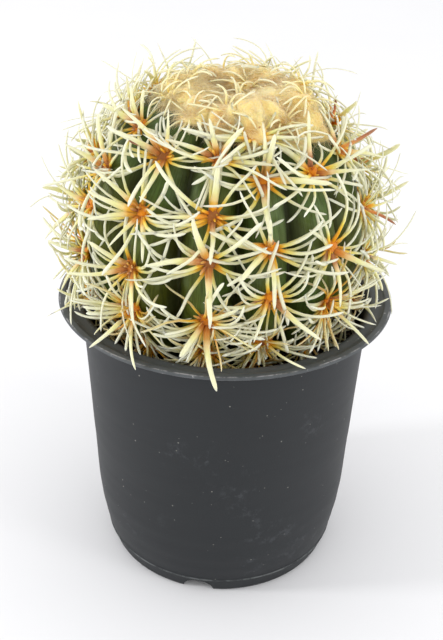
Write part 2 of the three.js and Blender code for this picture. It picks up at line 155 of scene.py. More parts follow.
def add_object(name, mesh, material):
    """Links a mesh at the origin under one material, and says how big it is."""
    thing = bpy.data.objects.new(name, mesh)
    bpy.context.scene.collection.objects.link(thing)
    mesh.materials.clear()
    mesh.materials.append(material)
    mesh.calc_loop_triangles()
    print(f"{name}: {len(mesh.vertices)} points, {len(mesh.loop_triangles)} triangles")
    return thing


print("faces of a grid of two rows of three:", grid_faces(2, 3).tolist())

# %% [markdown]
# ## Tools for finishes
#
# A finish is a tree of nodes, and maths on nodes is hard to read as a list of boxes. The class below
# lets a mask be written as `1 - dust * 0.4`. Colours go through Mix nodes, because a Math node would
# turn them grey. Patterns read the piece's own Object coordinates or a value stored on its points, so
# they stay on the surface from every side.

# %% Shader maths
class Value:
    """One number, vector or colour on a surface. Arithmetic on numbers adds Math nodes."""

    def __init__(self, finish, socket):
        self.finish = finish
        self.socket = socket

    def __add__(self, other):
        return self.finish.maths("ADD", self, other)

    def __sub__(self, other):
        return self.finish.maths("SUBTRACT", self, other)

    def __rsub__(self, other):
        return self.finish.maths("SUBTRACT", other, self)

    def __mul__(self, other):
        return self.finish.maths("MULTIPLY", self, other)

    def __pow__(self, other):
        return self.finish.maths("POWER", self, other)

    __radd__ = __add__
    __rmul__ = __mul__

    def between(self, low, high):
        """0 at low, 1 at high, with a soft S between."""
        settings = {"interpolation_type": "SMOOTHSTEP"}
        return self.finish.node("MapRange", settings, {"Value": self, "From Min": low, "From Max": high})


class Finish:
    """A material in the making, round one Principled shader whose constants are given at the start."""

    def __init__(self, name, constants):
        self.material = bpy.data.materials.new(name)
        self.material.use_nodes = True
        self.tree = self.material.node_tree
        self.shader = self.tree.nodes["Principled BSDF"]
        for socket, value in constants.items():
            self.shader.inputs[socket].default_value = value

    def feed(self, socket, value):
        """Links a Value to a socket, or sets a plain number or colour on it."""
        if isinstance(value, Value):
            self.tree.links.new(value.socket, socket)
        else:
            socket.default_value = value

    def node(self, kind, settings, inputs, output=0):
        """Adds a node of a kind with its settings, then feeds its inputs, and gives one output."""
        node = self.tree.nodes.new("ShaderNode" + kind)
        for key, value in settings.items():
            if key == "stops":
                set_stops(node.color_ramp, value)
            else:
                setattr(node, key, value)
        for key, value in inputs.items():
            self.feed(node.inputs[key], value)
        return Value(self, node.outputs[output])

    def maths(self, operation, a, b):
        """One Math node."""
        return self.node("Math", {"operation": operation}, {0: a, 1: b})

    def mix(self, share, a, b):
        """Colour a at share 0 and colour b at share 1."""
        return self.node("Mix", {"data_type": "RGBA"}, {0: share, 6: a, 7: b}, output=2)

    def place(self):
        """Object coordinates, in metres."""
        return self.node("TexCoord", {}, {}, output=3)

    def mark(self, name):
        """A number stored on the mesh's points."""
        return self.node("Attribute", {"attribute_name": name}, {}, output=2)

    def mark_vector(self, name):
        """A vector stored on the mesh's points."""
        return self.node("Attribute", {"attribute_name": name}, {}, output=1)

    def stretch(self, vector, scale):
        """A vector with each of its three axes multiplied."""
        return self.node("Mapping", {}, {"Vector": vector, "Scale": scale})

    def noise(self, vector, scale, detail=3.0, roughness=0.5):
        """Cloudy noise from 0 to 1."""
        inputs = {"Vector": vector, "Scale": scale, "Detail": detail, "Roughness": roughness}
        return self.node("TexNoise", {}, inputs)

    def cells(self, vector, scale):
        """The distance to the nearest of many scattered points."""
        return self.node("TexVoronoi", {}, {"Vector": vector, "Scale": scale})

    def ramp(self, value, stops):
        """A colour ramp."""
        return self.node("ValToRGB", {"stops": stops}, {"Fac": value})

    def bump(self, height, strength, distance):
        """A Bump node on a height. Distance is in metres."""
        return self.node("Bump", {}, {"Height": height, "Strength": strength, "Distance": distance})

    def dress(self, colour, roughness, normal):
        """Feeds the three sockets that vary over the surface."""
        self.feed(self.shader.inputs["Base Color"], colour)
        self.feed(self.shader.inputs["Roughness"], roughness)
        self.feed(self.shader.inputs["Normal"], normal)
        return self.material


def set_stops(ramp, stops):
    """Gives a colour ramp its stops, each a position and a colour."""
    while len(ramp.elements) > 1:
        ramp.elements.remove(ramp.elements[-1])
    ramp.elements[0].position = stops[0][0]
    ramp.elements[0].color = stops[0][1]
    for position, colour in stops[1:]:
        ramp.elements.new(position).color = colour


def shade(red, green, blue):
    """A colour as it is read on a screen, 0 to 255, turned into the linear colour that a shader wants."""
    c = np.array([red, green, blue]) / 255
    linear = np.where(c <= 0.04045, c / 12.92, ((c + 0.055) / 1.055) ** 2.4)
    return (*[float(x) for x in linear], 1.0)


print("tools for shapes and finishes are ready")

# %% [markdown]
# ## The camera
#
# The plant is seen from a little above, about 30 degrees, from close by: the pot tapers strongly
# towards the bottom of the picture. A camera that was fitted to the pot's two round edges gives the
# place, the lens and a tiny roll. The picture is 443 by 640, so the long side carries the 36 mm sensor.

# %% Camera
AIM = np.array([0, 0, 93.2])
CAMERA_DISTANCE = 375.9
CAMERA_RISE = np.radians(29.64)
CAMERA_ROLL = np.radians(1.555)
FOCAL_PIXELS = 1018.2
PICTURE_HEIGHT = 640
OFF_CENTRE_PIXELS = 3.08
SENSOR = 36.0

VIEW_BACK = np.array([0, -np.cos(CAMERA_RISE), np.sin(CAMERA_RISE)])
level_right = np.array([1.0, 0, 0])
level_up = np.cross(VIEW_BACK, level_right)
VIEW_RIGHT = np.cos(CAMERA_ROLL) * level_right + np.sin(CAMERA_ROLL) * level_up
VIEW_UP = -np.sin(CAMERA_ROLL) * level_right + np.cos(CAMERA_ROLL) * level_up

camera = bpy.data.objects.new("camera", bpy.data.cameras.new("camera"))
bpy.context.scene.collection.objects.link(camera)
camera.matrix_world = Matrix.LocRotScale(
    (AIM + VIEW_BACK * CAMERA_DISTANCE) * MM, Matrix(np.stack([VIEW_RIGHT, VIEW_UP, VIEW_BACK], axis=1)), None
)
camera.data.sensor_width = SENSOR
camera.data.lens = SENSOR * FOCAL_PIXELS / PICTURE_HEIGHT
camera.data.shift_x = -OFF_CENTRE_PIXELS / PICTURE_HEIGHT
camera.data.clip_start = 0.01
bpy.context.scene.camera = camera
print(f"camera: lens {camera.data.lens:.2f} mm at {[round(x, 4) for x in camera.location]}")

# %% [markdown]
# ## Floor and light
#
# The plant stands on a white sheet in a white tent, with a low lamp at each side. The lamp on the left
# casts the shadow with a crisp lower edge to the right, and a softer one on the right answers it. The
# standard view is used, so that white stays white, as in a studio picture.

# %% Floor, world and lamp
FLOOR_START = 60
FLOOR_REACH = 4000
FLOOR_RINGS = 40
FLOOR_SIDES = 96
WORLD_STRENGTH = 1.15
KEY_PLACE = np.array([-1120, -190, 420])
KEY_SIZE = 0.16
KEY_POWER = 5.8
FILL_PLACE = np.array([1000, -600, 420])
FILL_SIZE = 0.34
FILL_POWER = 3.8

rings = np.geomspace(FLOOR_START, FLOOR_REACH, FLOOR_RINGS)[:, None]
round_floor = np.radians(np.arange(FLOOR_SIDES) * 360 / FLOOR_SIDES)[None, :]
floor_ring = np.stack(
    [np.sin(round_floor) * rings, -np.cos(round_floor) * rings, 0 * rings * round_floor], axis=-1
)
floor_points = np.concatenate([[[0, 0, 0]], floor_ring.reshape(-1, 3)])
floor_faces = [
    grid_faces(FLOOR_RINGS, FLOOR_SIDES)[:, ::-1] + 1,
    fan_faces(0, 1, FLOOR_SIDES, True),
]

sheet = Finish("pale_sheet", {"Specular IOR Level": 0.2})
grain = sheet.noise(sheet.place(), 3.0)
sheet_colour = sheet.mix(grain, shade(229, 229, 231), shade(235, 235, 237))
fine_grain = sheet.noise(sheet.place(), 900.0)
sheet.dress(sheet_colour, 0.75 + 0.1 * grain, sheet.bump(fine_grain, 0.1, 0.0002))

floor = add_object("floor", make_mesh("floor", floor_points, floor_faces), sheet.material)
floor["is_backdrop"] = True

world = bpy.data.worlds.new("studio")
bpy.context.scene.world = world
world.use_nodes = True
world.node_tree.nodes["Background"].inputs["Color"].default_value = (1, 1, 1, 1)
world.node_tree.nodes["Background"].inputs["Strength"].default_value = WORLD_STRENGTH


def add_lamp(name, place, size, power):
    """A square area lamp that faces the point the camera aims at."""
    lamp = bpy.data.objects.new(name, bpy.data.lights.new(name, "AREA"))
    bpy.context.scene.collection.objects.link(lamp)
    lamp.data.size = size
    lamp.data.energy = power
    away = unit(place - AIM)
    level = unit(np.cross([0, 0, 1], away))
    axes = Matrix(np.stack([level, np.cross(away, level), away], axis=1))
    lamp.matrix_world = Matrix.LocRotScale(place * MM, axes, None)


add_lamp("key", KEY_PLACE, KEY_SIZE, KEY_POWER)
add_lamp("fill", FILL_PLACE, FILL_SIZE, FILL_POWER)
bpy.context.scene.view_settings.view_transform = "Standard"
print("floor, world and two lamps are set")

# %% [markdown]
# ## The pot
#
# The real pot is blown or moulded from one sheet of dark grey plastic, about 1.3 mm thick. Its wall
# leans out as it rises, rounds in at the foot, and turns out into a flat rim with a raised lip. It
# is a turned shape, so one section swept round the axis makes it. The corners of the section are
# replaced by short curves, because moulded plastic has no sharp edge. The drain notches and holes are
# then cut with a Boolean, since they are the only things that break the turned form.

# %% The pot's section
POT_HEIGHT = 106.5
RIM_RADIUS = 60
RIM_THICKNESS = 1.3
RIM_DISH = 1.0
RIM_BEND = 1.6
LIP_WIDTH = 3.2
LIP_RISE = 0.5
WALL_TOP_RADIUS = 52
WALL_KNEE_RADIUS = 48.2
WALL_KNEE_HEIGHT = 31
KNEE_POWER = 1.6
WALL_WAVES = np.array([
    (12, 0.04), (16, -0.07), (19.5, 0.07), (25, -0.08), (28.5, 0.07),
    (38, 0.04), (48, -0.07), (52, 0.07), (68, 0), (85, 0),
])
FOOT_RADIUS = 43.1
FOOT_STEP_HEIGHT = 6.4
FOOT_STEP_DEPTH = 0.4
FOOT_RING_WIDTH = 4
WALL = 1.3
FLOOR_UNDERSIDE = 4.6
FLOOR_TOP = 6
DRAIN_RADIUS = 4
CORNER_STEPS = 4
CORNER_SHARE = 0.42


def wall_radius(height):
    """The wall's outer radius: straight above the knee, and below it in with a power of the drop."""
    height = np.asarray(height, float)
    above = (height - WALL_KNEE_HEIGHT) / (POT_HEIGHT - WALL_KNEE_HEIGHT)
    below = np.clip(1 - height / WALL_KNEE_HEIGHT, 0, 1) ** KNEE_POWER
    straight = WALL_KNEE_RADIUS + (WALL_TOP_RADIUS - WALL_KNEE_RADIUS) * above
    rounded = WALL_KNEE_RADIUS + (FOOT_RADIUS - WALL_KNEE_RADIUS) * below
    return np.where(height >= WALL_KNEE_HEIGHT, straight, rounded)


def round_corners(corners, reach):
    """Replaces each corner of a closed outline by a short curve: a quadratic blend of the points at
    most `reach`, or a share of the side, before and after it, with the corner as the middle control."""
    before = np.roll(corners, 1, axis=0) - corners
    after = np.roll(corners, -1, axis=0) - corners
    back = np.minimum(reach, CORNER_SHARE * np.linalg.norm(before, axis=1))[:, None]
    ahead = np.minimum(reach, CORNER_SHARE * np.linalg.norm(after, axis=1))[:, None]
    start = corners + unit(before) * back
    end = corners + unit(after) * ahead
    t = np.linspace(0, 1, CORNER_STEPS)[None, :, None]
    curve = (1 - t) ** 2 * start[:, None] + 2 * t * (1 - t) * corners[:, None] + t**2 * end[:, None]
    return curve.reshape(-1, 2)


def pot_section():
    """The pot's section, from the drain hole's lower edge out under the floor, up the wall, over the
    lip, down the inside and back along the floor to the hole. Each row is a radius, a height and a
    rounding reach. The small offsets draw the bead over the foot step and the edges of the lip."""
    flange = POT_HEIGHT - RIM_DISH
    ring_inside = FOOT_RADIUS - FOOT_RING_WIDTH
    band = float(wall_radius(FOOT_STEP_HEIGHT))
    rows = [
        (DRAIN_RADIUS, FLOOR_UNDERSIDE, 0.3),
        (ring_inside - 1, FLOOR_UNDERSIDE, 0.8),
        (ring_inside, 0, 0.3),
        (FOOT_RADIUS - FOOT_STEP_DEPTH - 0.6, 0, 0.5),
        (float(wall_radius(1)) - FOOT_STEP_DEPTH, 1, 0.5),
        (band - FOOT_STEP_DEPTH - 0.15, FOOT_STEP_HEIGHT - 0.25, 0.15),
        (band + 0.25, FOOT_STEP_HEIGHT, 0.12),
        (band + 0.32, FOOT_STEP_HEIGHT + 0.35, 0.15),
        (band + 0.02, FOOT_STEP_HEIGHT + 0.75, 0.4),
        *[(float(wall_radius(z) + r), float(z), 4.0) for z, r in WALL_WAVES],
        (WALL_TOP_RADIUS, flange - RIM_THICKNESS - RIM_BEND, 1.2),
        (WALL_TOP_RADIUS + 1, flange - RIM_THICKNESS, 0.8),
        (RIM_RADIUS - 0.9, POT_HEIGHT - RIM_BEND, 0.4),
        (RIM_RADIUS, POT_HEIGHT - 0.9, 0.5),
        (RIM_RADIUS - 0.25, POT_HEIGHT - 0.05, 0.5),
        (RIM_RADIUS - LIP_WIDTH + 0.7, POT_HEIGHT, 0.4),
        (RIM_RADIUS - LIP_WIDTH + 0.25, POT_HEIGHT - LIP_RISE, 0.25),
        (RIM_RADIUS - LIP_WIDTH - 1.2, flange - 0.05, 0.6),
        (WALL_TOP_RADIUS + 0.6, flange, 1.0),
        (WALL_TOP_RADIUS - WALL, flange - RIM_BEND, 1.2),
        *[(float(wall_radius(z)) - WALL, float(z), 4.0) for z in WALL_WAVES[::-1, 0]],
        (float(wall_radius(8)) - WALL, 8, 1.0),
        (ring_inside, FLOOR_TOP, 1.0),
        (DRAIN_RADIUS, FLOOR_TOP, 0.3),
    ]
    table = np.array(rows)
    return round_corners(table[:, :2], table[:, 2])


section = pot_section()
print(f"pot section: {len(section)} points, widest {section[:, 0].max():.1f} mm")

# %% Turn the pot and cut its drains
POT_SIDES = 240
SHARP_ANGLE = np.radians(35)
NOTCH_COUNT = 4
NOTCH_AZIMUTH = -9.7
NOTCH_WIDTH = 11.6
NOTCH_HEIGHT = 5.0
NOTCH_SQUARENESS = 0.9
NOTCH_START = 36.6
NOTCH_END = 50
NOTCH_DROP = 5
ARCH_STEPS = 9
DRAIN_RING = 32
DRAIN_SIDES = 28
DRAIN_ABOVE = 3
DRAIN_BELOW = 0.8


def turn_section(points, sides):
    """A closed section swept round the Z axis, as rows of points that start at the front."""
    azimuth = np.radians(np.arange(sides) * 360 / sides)[None, :]
    radius = points[:, :1]
    height = points[:, 1:] + 0 * azimuth
    return np.stack([np.sin(azimuth) * radius, -np.cos(azimuth) * radius, height], axis=-1)


def cutter_mesh():
    """All the cutters as one mesh: bars with an arched top for the notches, and round pegs for the
    drain holes. Each is a flat outline in two copies with a wall between them. The bars start beyond
    the pegs, because cutters that overlap each other spoil the cut."""
    t = np.linspace(0, 1, ARCH_STEPS)
    half = NOTCH_WIDTH / 2
    rise_x = (1 - t) ** 2 * half + 2 * t * (1 - t) * half * NOTCH_SQUARENESS
    rise_z = 2 * t * (1 - t) * NOTCH_HEIGHT + t**2 * NOTCH_HEIGHT
    arch_x = np.concatenate([[-half, half], rise_x, -rise_x[-2::-1]])
    arch_z = np.concatenate([[-NOTCH_DROP, -NOTCH_DROP], rise_z, rise_z[-2::-1]])
    points, walls, caps, start = [], [], [], 0
    for k in range(NOTCH_COUNT):
        azimuth = np.radians(NOTCH_AZIMUTH + k * 360 / NOTCH_COUNT)
        out = np.array([np.sin(azimuth), -np.cos(azimuth), 0])
        side = np.array([np.cos(azimuth), np.sin(azimuth), 0])
        outline = arch_x[::-1, None] * side + arch_z[::-1, None] * np.array([0, 0, 1])
        hole = np.radians(np.arange(DRAIN_SIDES) * 360 / DRAIN_SIDES)[:, None]
        ring = DRAIN_RADIUS * (np.cos(hole) * side - np.sin(hole) * out) + DRAIN_RING * out
        bar = (outline + NOTCH_START * out, outline + NOTCH_END * out)
        peg = (ring + [0, 0, FLOOR_TOP + DRAIN_ABOVE], ring + [0, 0, FLOOR_UNDERSIDE - DRAIN_BELOW])
        for near, far in (bar, peg):
            n = len(near)
            points.extend([near, far])
            walls.append(grid_faces(2, n)[:, ::-1] + start)
            caps.append(np.arange(n)[None, :] + start)
            caps.append(np.arange(n)[::-1][None, :] + start + n)
            start += 2 * n
    return make_mesh("drain_cutter", np.concatenate(points), [*walls, *caps])


def cut(mesh, cutter):
    """The mesh less the cutter, through an exact Boolean that is worked out once and kept."""
    body = bpy.data.objects.new("uncut", mesh)
    tool = bpy.data.objects.new("tool", cutter)
    for thing in (body, tool):
        bpy.context.scene.collection.objects.link(thing)
    boolean = body.modifiers.new("drains", "BOOLEAN")
    boolean.object = tool
    boolean.operation = "DIFFERENCE"
    boolean.solver = "EXACT"
    graph = bpy.context.evaluated_depsgraph_get()
    result = bpy.data.meshes.new_from_object(body.evaluated_get(graph))
    for thing in (body, tool):
        bpy.data.objects.remove(thing)
    return result


turned = turn_section(section, POT_SIDES)
pot_mesh = make_mesh("pot_turned", turned, [grid_faces(len(section), POT_SIDES, loops=True)])
pot_mesh = cut(pot_mesh, cutter_mesh())
pot_mesh.shade_smooth()
pot_mesh.set_sharp_from_angle(angle=SHARP_ANGLE)
print(f"pot: {len(pot_mesh.vertices)} points after the cuts")

# %% [markdown]
# ## The pot's finish
#
# Grey nursery plastic is satin, not glossy. What makes it look real is small: the sheen changes in
# broad clouds where it was handled, there are pale scuffs and a few specks of dust and lime, and a
# very fine grain breaks up the highlight. The rim's face is painted paler, partly as wear and partly
# as a painted reflection of the bright surroundings; the lip's two edges and the bead over the foot
# carry thin painted highlights. They are found by their height and their distance from the axis, in metres.

# %% Satin plastic
plastic = Finish("pot_plastic", {"IOR": 1.5, "Specular IOR Level": 0.36})
here = plastic.place()
clouds = plastic.noise(here, 22.0, 4.0, 0.6)
streaks = plastic.noise(plastic.stretch(here, (18, 18, 160)), 2.0, 4.0, 0.6)
scuffs = plastic.noise(plastic.stretch(here, (40, 40, 420)), 3.0, 6.0, 0.7).between(0.66, 0.74)
speck_size = plastic.noise(here, 260.0, 1.0)
specks = plastic.cells(here, 380.0).between(0.13, 0.07) * speck_size.between(0.56, 0.66)
plastic_colour = plastic.mix(clouds, shade(22, 25, 28), shade(31, 34, 37))
plastic_colour = plastic.mix(scuffs * 0.12, plastic_colour, shade(120, 121, 122))
plastic_colour = plastic.mix(specks * 0.5, plastic_colour, shade(170, 168, 160))
xyz = [plastic.node("SeparateXYZ", {}, {0: here}, output=k) for k in range(3)]
from_axis = (xyz[0] * xyz[0] + xyz[1] * xyz[1]) ** 0.5
# Painted reflection and wear: the rim's face and lip are painted a lighter grey, partly rubbed and partly
# standing in for the bright surroundings mirrored at a grazing angle.
rim_wear_and_reflection = from_axis.between(0.0508, 0.0530) * xyz[2].between(0.1035, 0.1045)
handled = plastic.noise(here, 160.0, 4.0, 0.7)
plastic_colour = plastic.mix(rim_wear_and_reflection * (0.3 + 0.5 * handled), plastic_colour, shade(94, 98, 100))
nicks = plastic.cells(here, 420.0).between(0.2, 0.1) * handled.between(0.5, 0.62) * rim_wear_and_reflection
plastic_colour = plastic.mix(nicks * 0.6, plastic_colour, shade(190, 190, 190))
# Painted highlights: thin, broken pale lines along the lip's lower edge and along the outer edge of its top
# face.
wander = 0.0006 * plastic.noise(here, 55.0, 3.0, 0.6)
low_line = (xyz[2] + wander).between(0.1050, 0.1052) * (xyz[2] + wander).between(0.1058, 0.1056)
top_line = (from_axis + wander).between(0.0594, 0.0596) * (from_axis + wander).between(0.0600, 0.0598)
lip_edge_highlight = low_line * from_axis.between(0.0594, 0.0597) + top_line * xyz[2].between(0.1060, 0.1063)
lip_edge_highlight = lip_edge_highlight * handled.between(0.42, 0.6)
plastic_colour = plastic.mix(lip_edge_highlight * 0.6, plastic_colour, shade(170, 168, 172))
smear_grain = plastic.noise(here, 260.0, 4.0, 0.7).between(0.5, 0.7)
smears = plastic.noise(here, 30.0, 2.0).between(0.54, 0.66) * smear_grain
plastic_colour = plastic.mix(smears * 0.1, plastic_colour, shade(130, 134, 140))
# Painted highlight: a thin, broken pale line along the bead over the foot step, where its ridge would catch
# the light.
bead = xyz[2].between(0.0064, 0.0067) * xyz[2].between(0.0072, 0.0069) * from_axis.between(0.0425, 0.043)
bead_highlight = bead * handled.between(0.4, 0.6)
plastic_colour = plastic.mix(bead_highlight * 0.5, plastic_colour, shade(110, 114, 114))
plastic_rough = 0.46 + 0.1 * clouds + 0.08 * streaks + 0.1 * specks
peel = plastic.noise(here, 1500.0, 2.0)
plastic_normal = plastic.bump(peel + 0.5 * streaks, 0.12, 0.0002)
plastic.dress(plastic_colour, plastic_rough, plastic_normal)

pot = add_object("nursery_pot", pot_mesh, plastic.material)
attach(pot, "root")
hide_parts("pot")

# %% [markdown]
# ## The stem
#
# A barrel cactus stores water in one fat stem, pleated into ribs so that it can swell and shrink.
# The surface is an ellipse from pole to pole, seen round 13 ribs. Across a rib the radius falls with
# the square of the distance from the crest, and the crest rises a little round each areole, the
# felted spot that spines grow from. Under the soil the stem narrows to a short woody rootstock.

# %% The stem's form
STEM_CENTRE = np.array([-1.4, 0, 132])
STEM_RADIUS = 49
STEM_HALF_HEIGHT = 51
LEAN = turn_x(4.6) @ turn_y(1.4)
RIBS = 13
FIRST_RIB = 19.7
GROOVE_DEPTH = 0.2
CROWN_SINK = 8
ROOT_RADIUS = 9
ROOT_END = 62
SOIL_TOP = 91
LOWEST_AREOLE = -48
HIGHEST_AREOLE = 60
RIB_TURNS = np.array([-1.5, -2, 0, 0, 0, 0, 0, 0, 0, 0, -3, 0.5, 3])
AREOLE_ROWS = np.array([
    (-21, 20), (-33, 23.5), (-25, 22), (-14, 19.5), (-24, 21), (-13, 20), (-27, 22),
    (-17, 21), (-25, 20), (-14, 22), (-22, 17.5), (-14, 20), (-28, 19.5),
])
MOVED_AREOLES = [(0, 3, 3.5), (12, 2, 4), (1, 3, 4), (10, 2, 5), (10, 3, 2.5), (10, 4, 5), (11, 3, 2)]


def rib_azimuth(rib, share=0.0):
    """The angle from the front towards the right, at a share of the way across a rib, in radians. The
    ribs are evenly spaced, each turned by a few degrees, and the turn runs evenly between crests."""
    crest = np.asarray(rib + share, float)
    turn = np.interp(np.mod(crest, RIBS), np.arange(RIBS + 1), np.append(RIB_TURNS, RIB_TURNS[0]))
    return np.radians(FIRST_RIB + crest * 360 / RIBS + turn)


def stem_point(latitude, rib, share, lift=0.0):
    """A point of the stem: an ellipse from pole to pole, sunk at the crown, whose radius falls across
    each rib with the square of the distance from the crest. Grooves fade out at the poles."""
    azimuth = rib_azimuth(rib, share)
    t = np.radians(latitude)
    fade = smooth(np.cos(t), 0.05, 0.45)
    groove = 1 - GROOVE_DEPTH * fade * (2 * share) ** 2
    across = (STEM_RADIUS + lift) * np.cos(t) * groove
    up = (STEM_HALF_HEIGHT + lift) * np.sin(t) - CROWN_SINK * smooth(latitude, 60, 90)
    local = np.stack(np.broadcast_arrays(np.sin(azimuth) * across, -np.cos(azimuth) * across, up), axis=-1)
    return local @ LEAN.T + STEM_CENTRE


def areole_table():
    """Rib, row and latitude of every areole: even steps up each rib, each moved a little, and a few
    moved further by listed amounts."""
    rib, row = np.meshgrid(np.arange(RIBS), np.arange(-1, 6), indexing="ij")
    even = AREOLE_ROWS[:, :1] + row * AREOLE_ROWS[:, 1:]
    latitude = even + 1.5 * wobble(rib, row, 1)
    for moved_rib, moved_row, degrees in MOVED_AREOLES:
        latitude += degrees * ((rib == moved_rib) & (row == moved_row))
    kept = (even <= HIGHEST_AREOLE) & (latitude > LOWEST_AREOLE)
    return rib[kept], row[kept], latitude[kept]


areole_rib, areole_row, areole_latitude = areole_table()
print(f"{len(areole_rib)} areoles on {RIBS} ribs")

# %% The swelling round each areole
SWELL = 0.9
SWELL_REACH = 4.5
SWELL_ACROSS = 0.22
CREST_DIP = 0.35
DIP_ACROSS = 0.3


def swelling(latitude, rib, share):
    """How far the crest stands out round its areoles: a bell in latitude and across the rib, summed
    over the areoles of that rib, less a slight dip between them."""
    rise = np.zeros(np.broadcast_shapes(latitude.shape, rib.shape))
    for n in range(len(areole_rib)):
        bell = np.exp(-(((latitude - areole_latitude[n]) / SWELL_REACH) ** 2) - (share / SWELL_ACROSS) ** 2)
        rise += bell * (rib == areole_rib[n])
    dip = CREST_DIP * np.exp(-((share / DIP_ACROSS) ** 2)) * smooth(np.abs(latitude), 75, 60)
    return SWELL * rise - dip


at_areole = swelling(areole_latitude[:1, None], areole_rib[:1, None], np.zeros((1, 1)))[0, 0]
print(f"the crest stands out {at_areole:.2f} mm at its first areole")

# %% The stem's surface
STEM_ROWS = 150
SIDES_PER_RIB = 22
RIB_WAVE = 0.25
PEG_ROWS = 8
PEG_TOP = 84

latitude = np.linspace(-90, 90, STEM_ROWS + 2)[1:-1][:, None]
column = np.arange(RIBS * SIDES_PER_RIB)[None, :]
rib = column // SIDES_PER_RIB
share = (column % SIDES_PER_RIB) / SIDES_PER_RIB - 0.5
lift = swelling(latitude, rib, share)
lift = lift + RIB_WAVE * np.sin(0.19 * latitude + 2.1 * rib) * np.sin(9 * share + rib)
stem_grid = stem_point(latitude, rib, share, lift)
stem_foot = stem_point(-90, 0, 0)
peg_heights = np.linspace(ROOT_END, PEG_TOP, PEG_ROWS)[:, None]
peg_angle = rib_azimuth(rib, share)
peg = np.stack(
    [
        stem_foot[0] + ROOT_RADIUS * np.sin(peg_angle) + 0 * peg_heights,
        stem_foot[1] - ROOT_RADIUS * np.cos(peg_angle) + 0 * peg_heights,
        peg_heights + 0 * peg_angle,
    ],
    axis=-1,
)
from_middle = (stem_grid.mean(axis=1)[:, None] - stem_grid)[..., :2]
clear_of_peg = np.hypot(from_middle[..., 0], from_middle[..., 1]).min(axis=1) > ROOT_RADIUS
first_row = int(np.argmax(clear_of_peg))
stem_rows = np.concatenate([peg, stem_grid[first_row:]])
columns = RIBS * SIDES_PER_RIB
tip_low = stem_rows[0].mean(axis=0)
tip_high = stem_point(90, 0, 0)
stem_points = np.concatenate([[tip_low], stem_rows.reshape(-1, 3), [tip_high]])
stem_faces = [
    grid_faces(len(stem_rows), columns) + 1,
    fan_faces(0, 1, columns, False),
    fan_faces(len(stem_points) - 1, 1 + (len(stem_rows) - 1) * columns, columns, True),
]
row_latitude = np.concatenate([np.full((PEG_ROWS, 1), -90.0), latitude[first_row:]])
rib_map = np.stack(np.broadcast_arrays(rib + share, row_latitude / 90, 0 * rib + 0.0), axis=-1).reshape(-1, 3)
rib_map = np.concatenate([[[0, -1, 0]], rib_map, [[0, 1, 0]]])
groove_mark = np.broadcast_to(np.abs(2 * share), (len(stem_rows), columns)).ravel()
groove_mark = np.concatenate([[0], groove_mark, [0]])
stem_marks = {"rib_map": rib_map, "groove": groove_mark}
stem_mesh = make_mesh("stem", stem_points, stem_faces, stem_marks)
print(f"stem: {len(stem_rows)} rows of {columns}")

# %% [markdown]
# ## The stem's skin
#
# The skin is dark green and waxy, with faint streaks that run up and down the ribs and paler scarred
# patches. The grooves are nearly black because little light reaches them, and that shade is painted
# into their colour. A stored map of rib and latitude lets the streaks follow the ribs.

# %% Waxy skin
skin = Finish("stem_skin", {"IOR": 1.42, "Specular IOR Level": 0.32})
here = skin.place()
ribs_map = skin.mark_vector("rib_map")
streaks = skin.noise(skin.stretch(ribs_map, (9.0, 2.2, 1)), 4.0, 4.0, 0.6)
fine_streaks = skin.noise(skin.stretch(ribs_map, (46.0, 3.0, 1)), 2.0, 3.0, 0.6)
patches = skin.noise(here, 75.0, 4.0, 0.6).between(0.48, 0.66)
hue = skin.noise(here, 34.0, 2.0).between(0.38, 0.62)
green = skin.mix(hue, shade(86, 93, 20), shade(74, 99, 38))
green = skin.mix(streaks.between(0.38, 0.68) * 0.6, green, shade(48, 51, 7))
green = skin.mix(fine_streaks.between(0.55, 0.72) * 0.35, green, shade(136, 154, 88))
green = skin.mix(patches * 0.4, green, shade(110, 127, 92))
# Painted shade: the colour darkens to nearly black towards the grooves between the ribs.
groove = skin.mark("groove").between(0.5, 1.0)
green = skin.mix(groove * 0.8, green, shade(30, 27, 3))
skin_rough = 0.38 + 0.16 * patches + 0.1 * streaks
pores = skin.noise(here, 1400.0, 2.0)
skin_normal = skin.bump(0.6 * fine_streaks + 0.5 * streaks + 0.25 * pores, 0.35, 0.0006)
skin.dress(green, skin_rough, skin_normal)

stem = add_object("stem", stem_mesh, skin.material)
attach(stem, "root")
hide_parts("cactus")

# %% [markdown]
# ## Spines as swept surfaces
#
# A spine is a hard, dry, slightly flattened needle, of nearly one width until it rounds off at the
# tip. All the spines of one sort are grown at once: a spine leaves its root at some angle over the
# skin, turns down evenly on the way to its tip, and swings and sways sideways. Its centreline is the
# running sum of short straight steps. An oval section is then carried along it, twisting a little. A
# particle system would be less work to set up, but it is lost when the model is exported, and these
# spines have to be real.

# %% Growing many spines at once
CROWDING = 2.0


def stations(count):
    """Shares of the way from root to tip: even ones, drawn together towards the tip by a power."""
    return 1 - (1 - np.linspace(0, 1, count)) ** CROWDING


def grow(plan, shares):
    """Centrelines of many spines. The angle over the skin falls evenly from rise by arch, the heading
    swings evenly by bend and sways once to each side by sway, and the points are the running sum of
    short steps in those directions."""
    middle = ((shares[1:] + shares[:-1]) / 2)[None, :, None]
    angle = plan["rise"][:, None, None] - plan["arch"][:, None, None] * middle
    swing = plan["turn"][:, None, None] + plan["bend"][:, None, None] * middle
    swing = swing + plan["sway"][:, None, None] * np.sin(2 * np.pi * middle)
    flat = plan["up"][:, None] * np.cos(swing) + plan["side"][:, None] * np.sin(swing)
    heading = flat * np.cos(angle) + plan["out"][:, None] * np.sin(angle)
    steps = heading * plan["length"][:, None, None] * np.diff(shares)[None, :, None]
    start = plan["root"][:, None]
    return np.concatenate([start, start + np.cumsum(steps, axis=1)], axis=1)


print("stations from root to tip:", np.round(stations(6), 2))

# %% Skinning them
KEEL_WIDTH = 0.5
TIP_POWER = 0.5


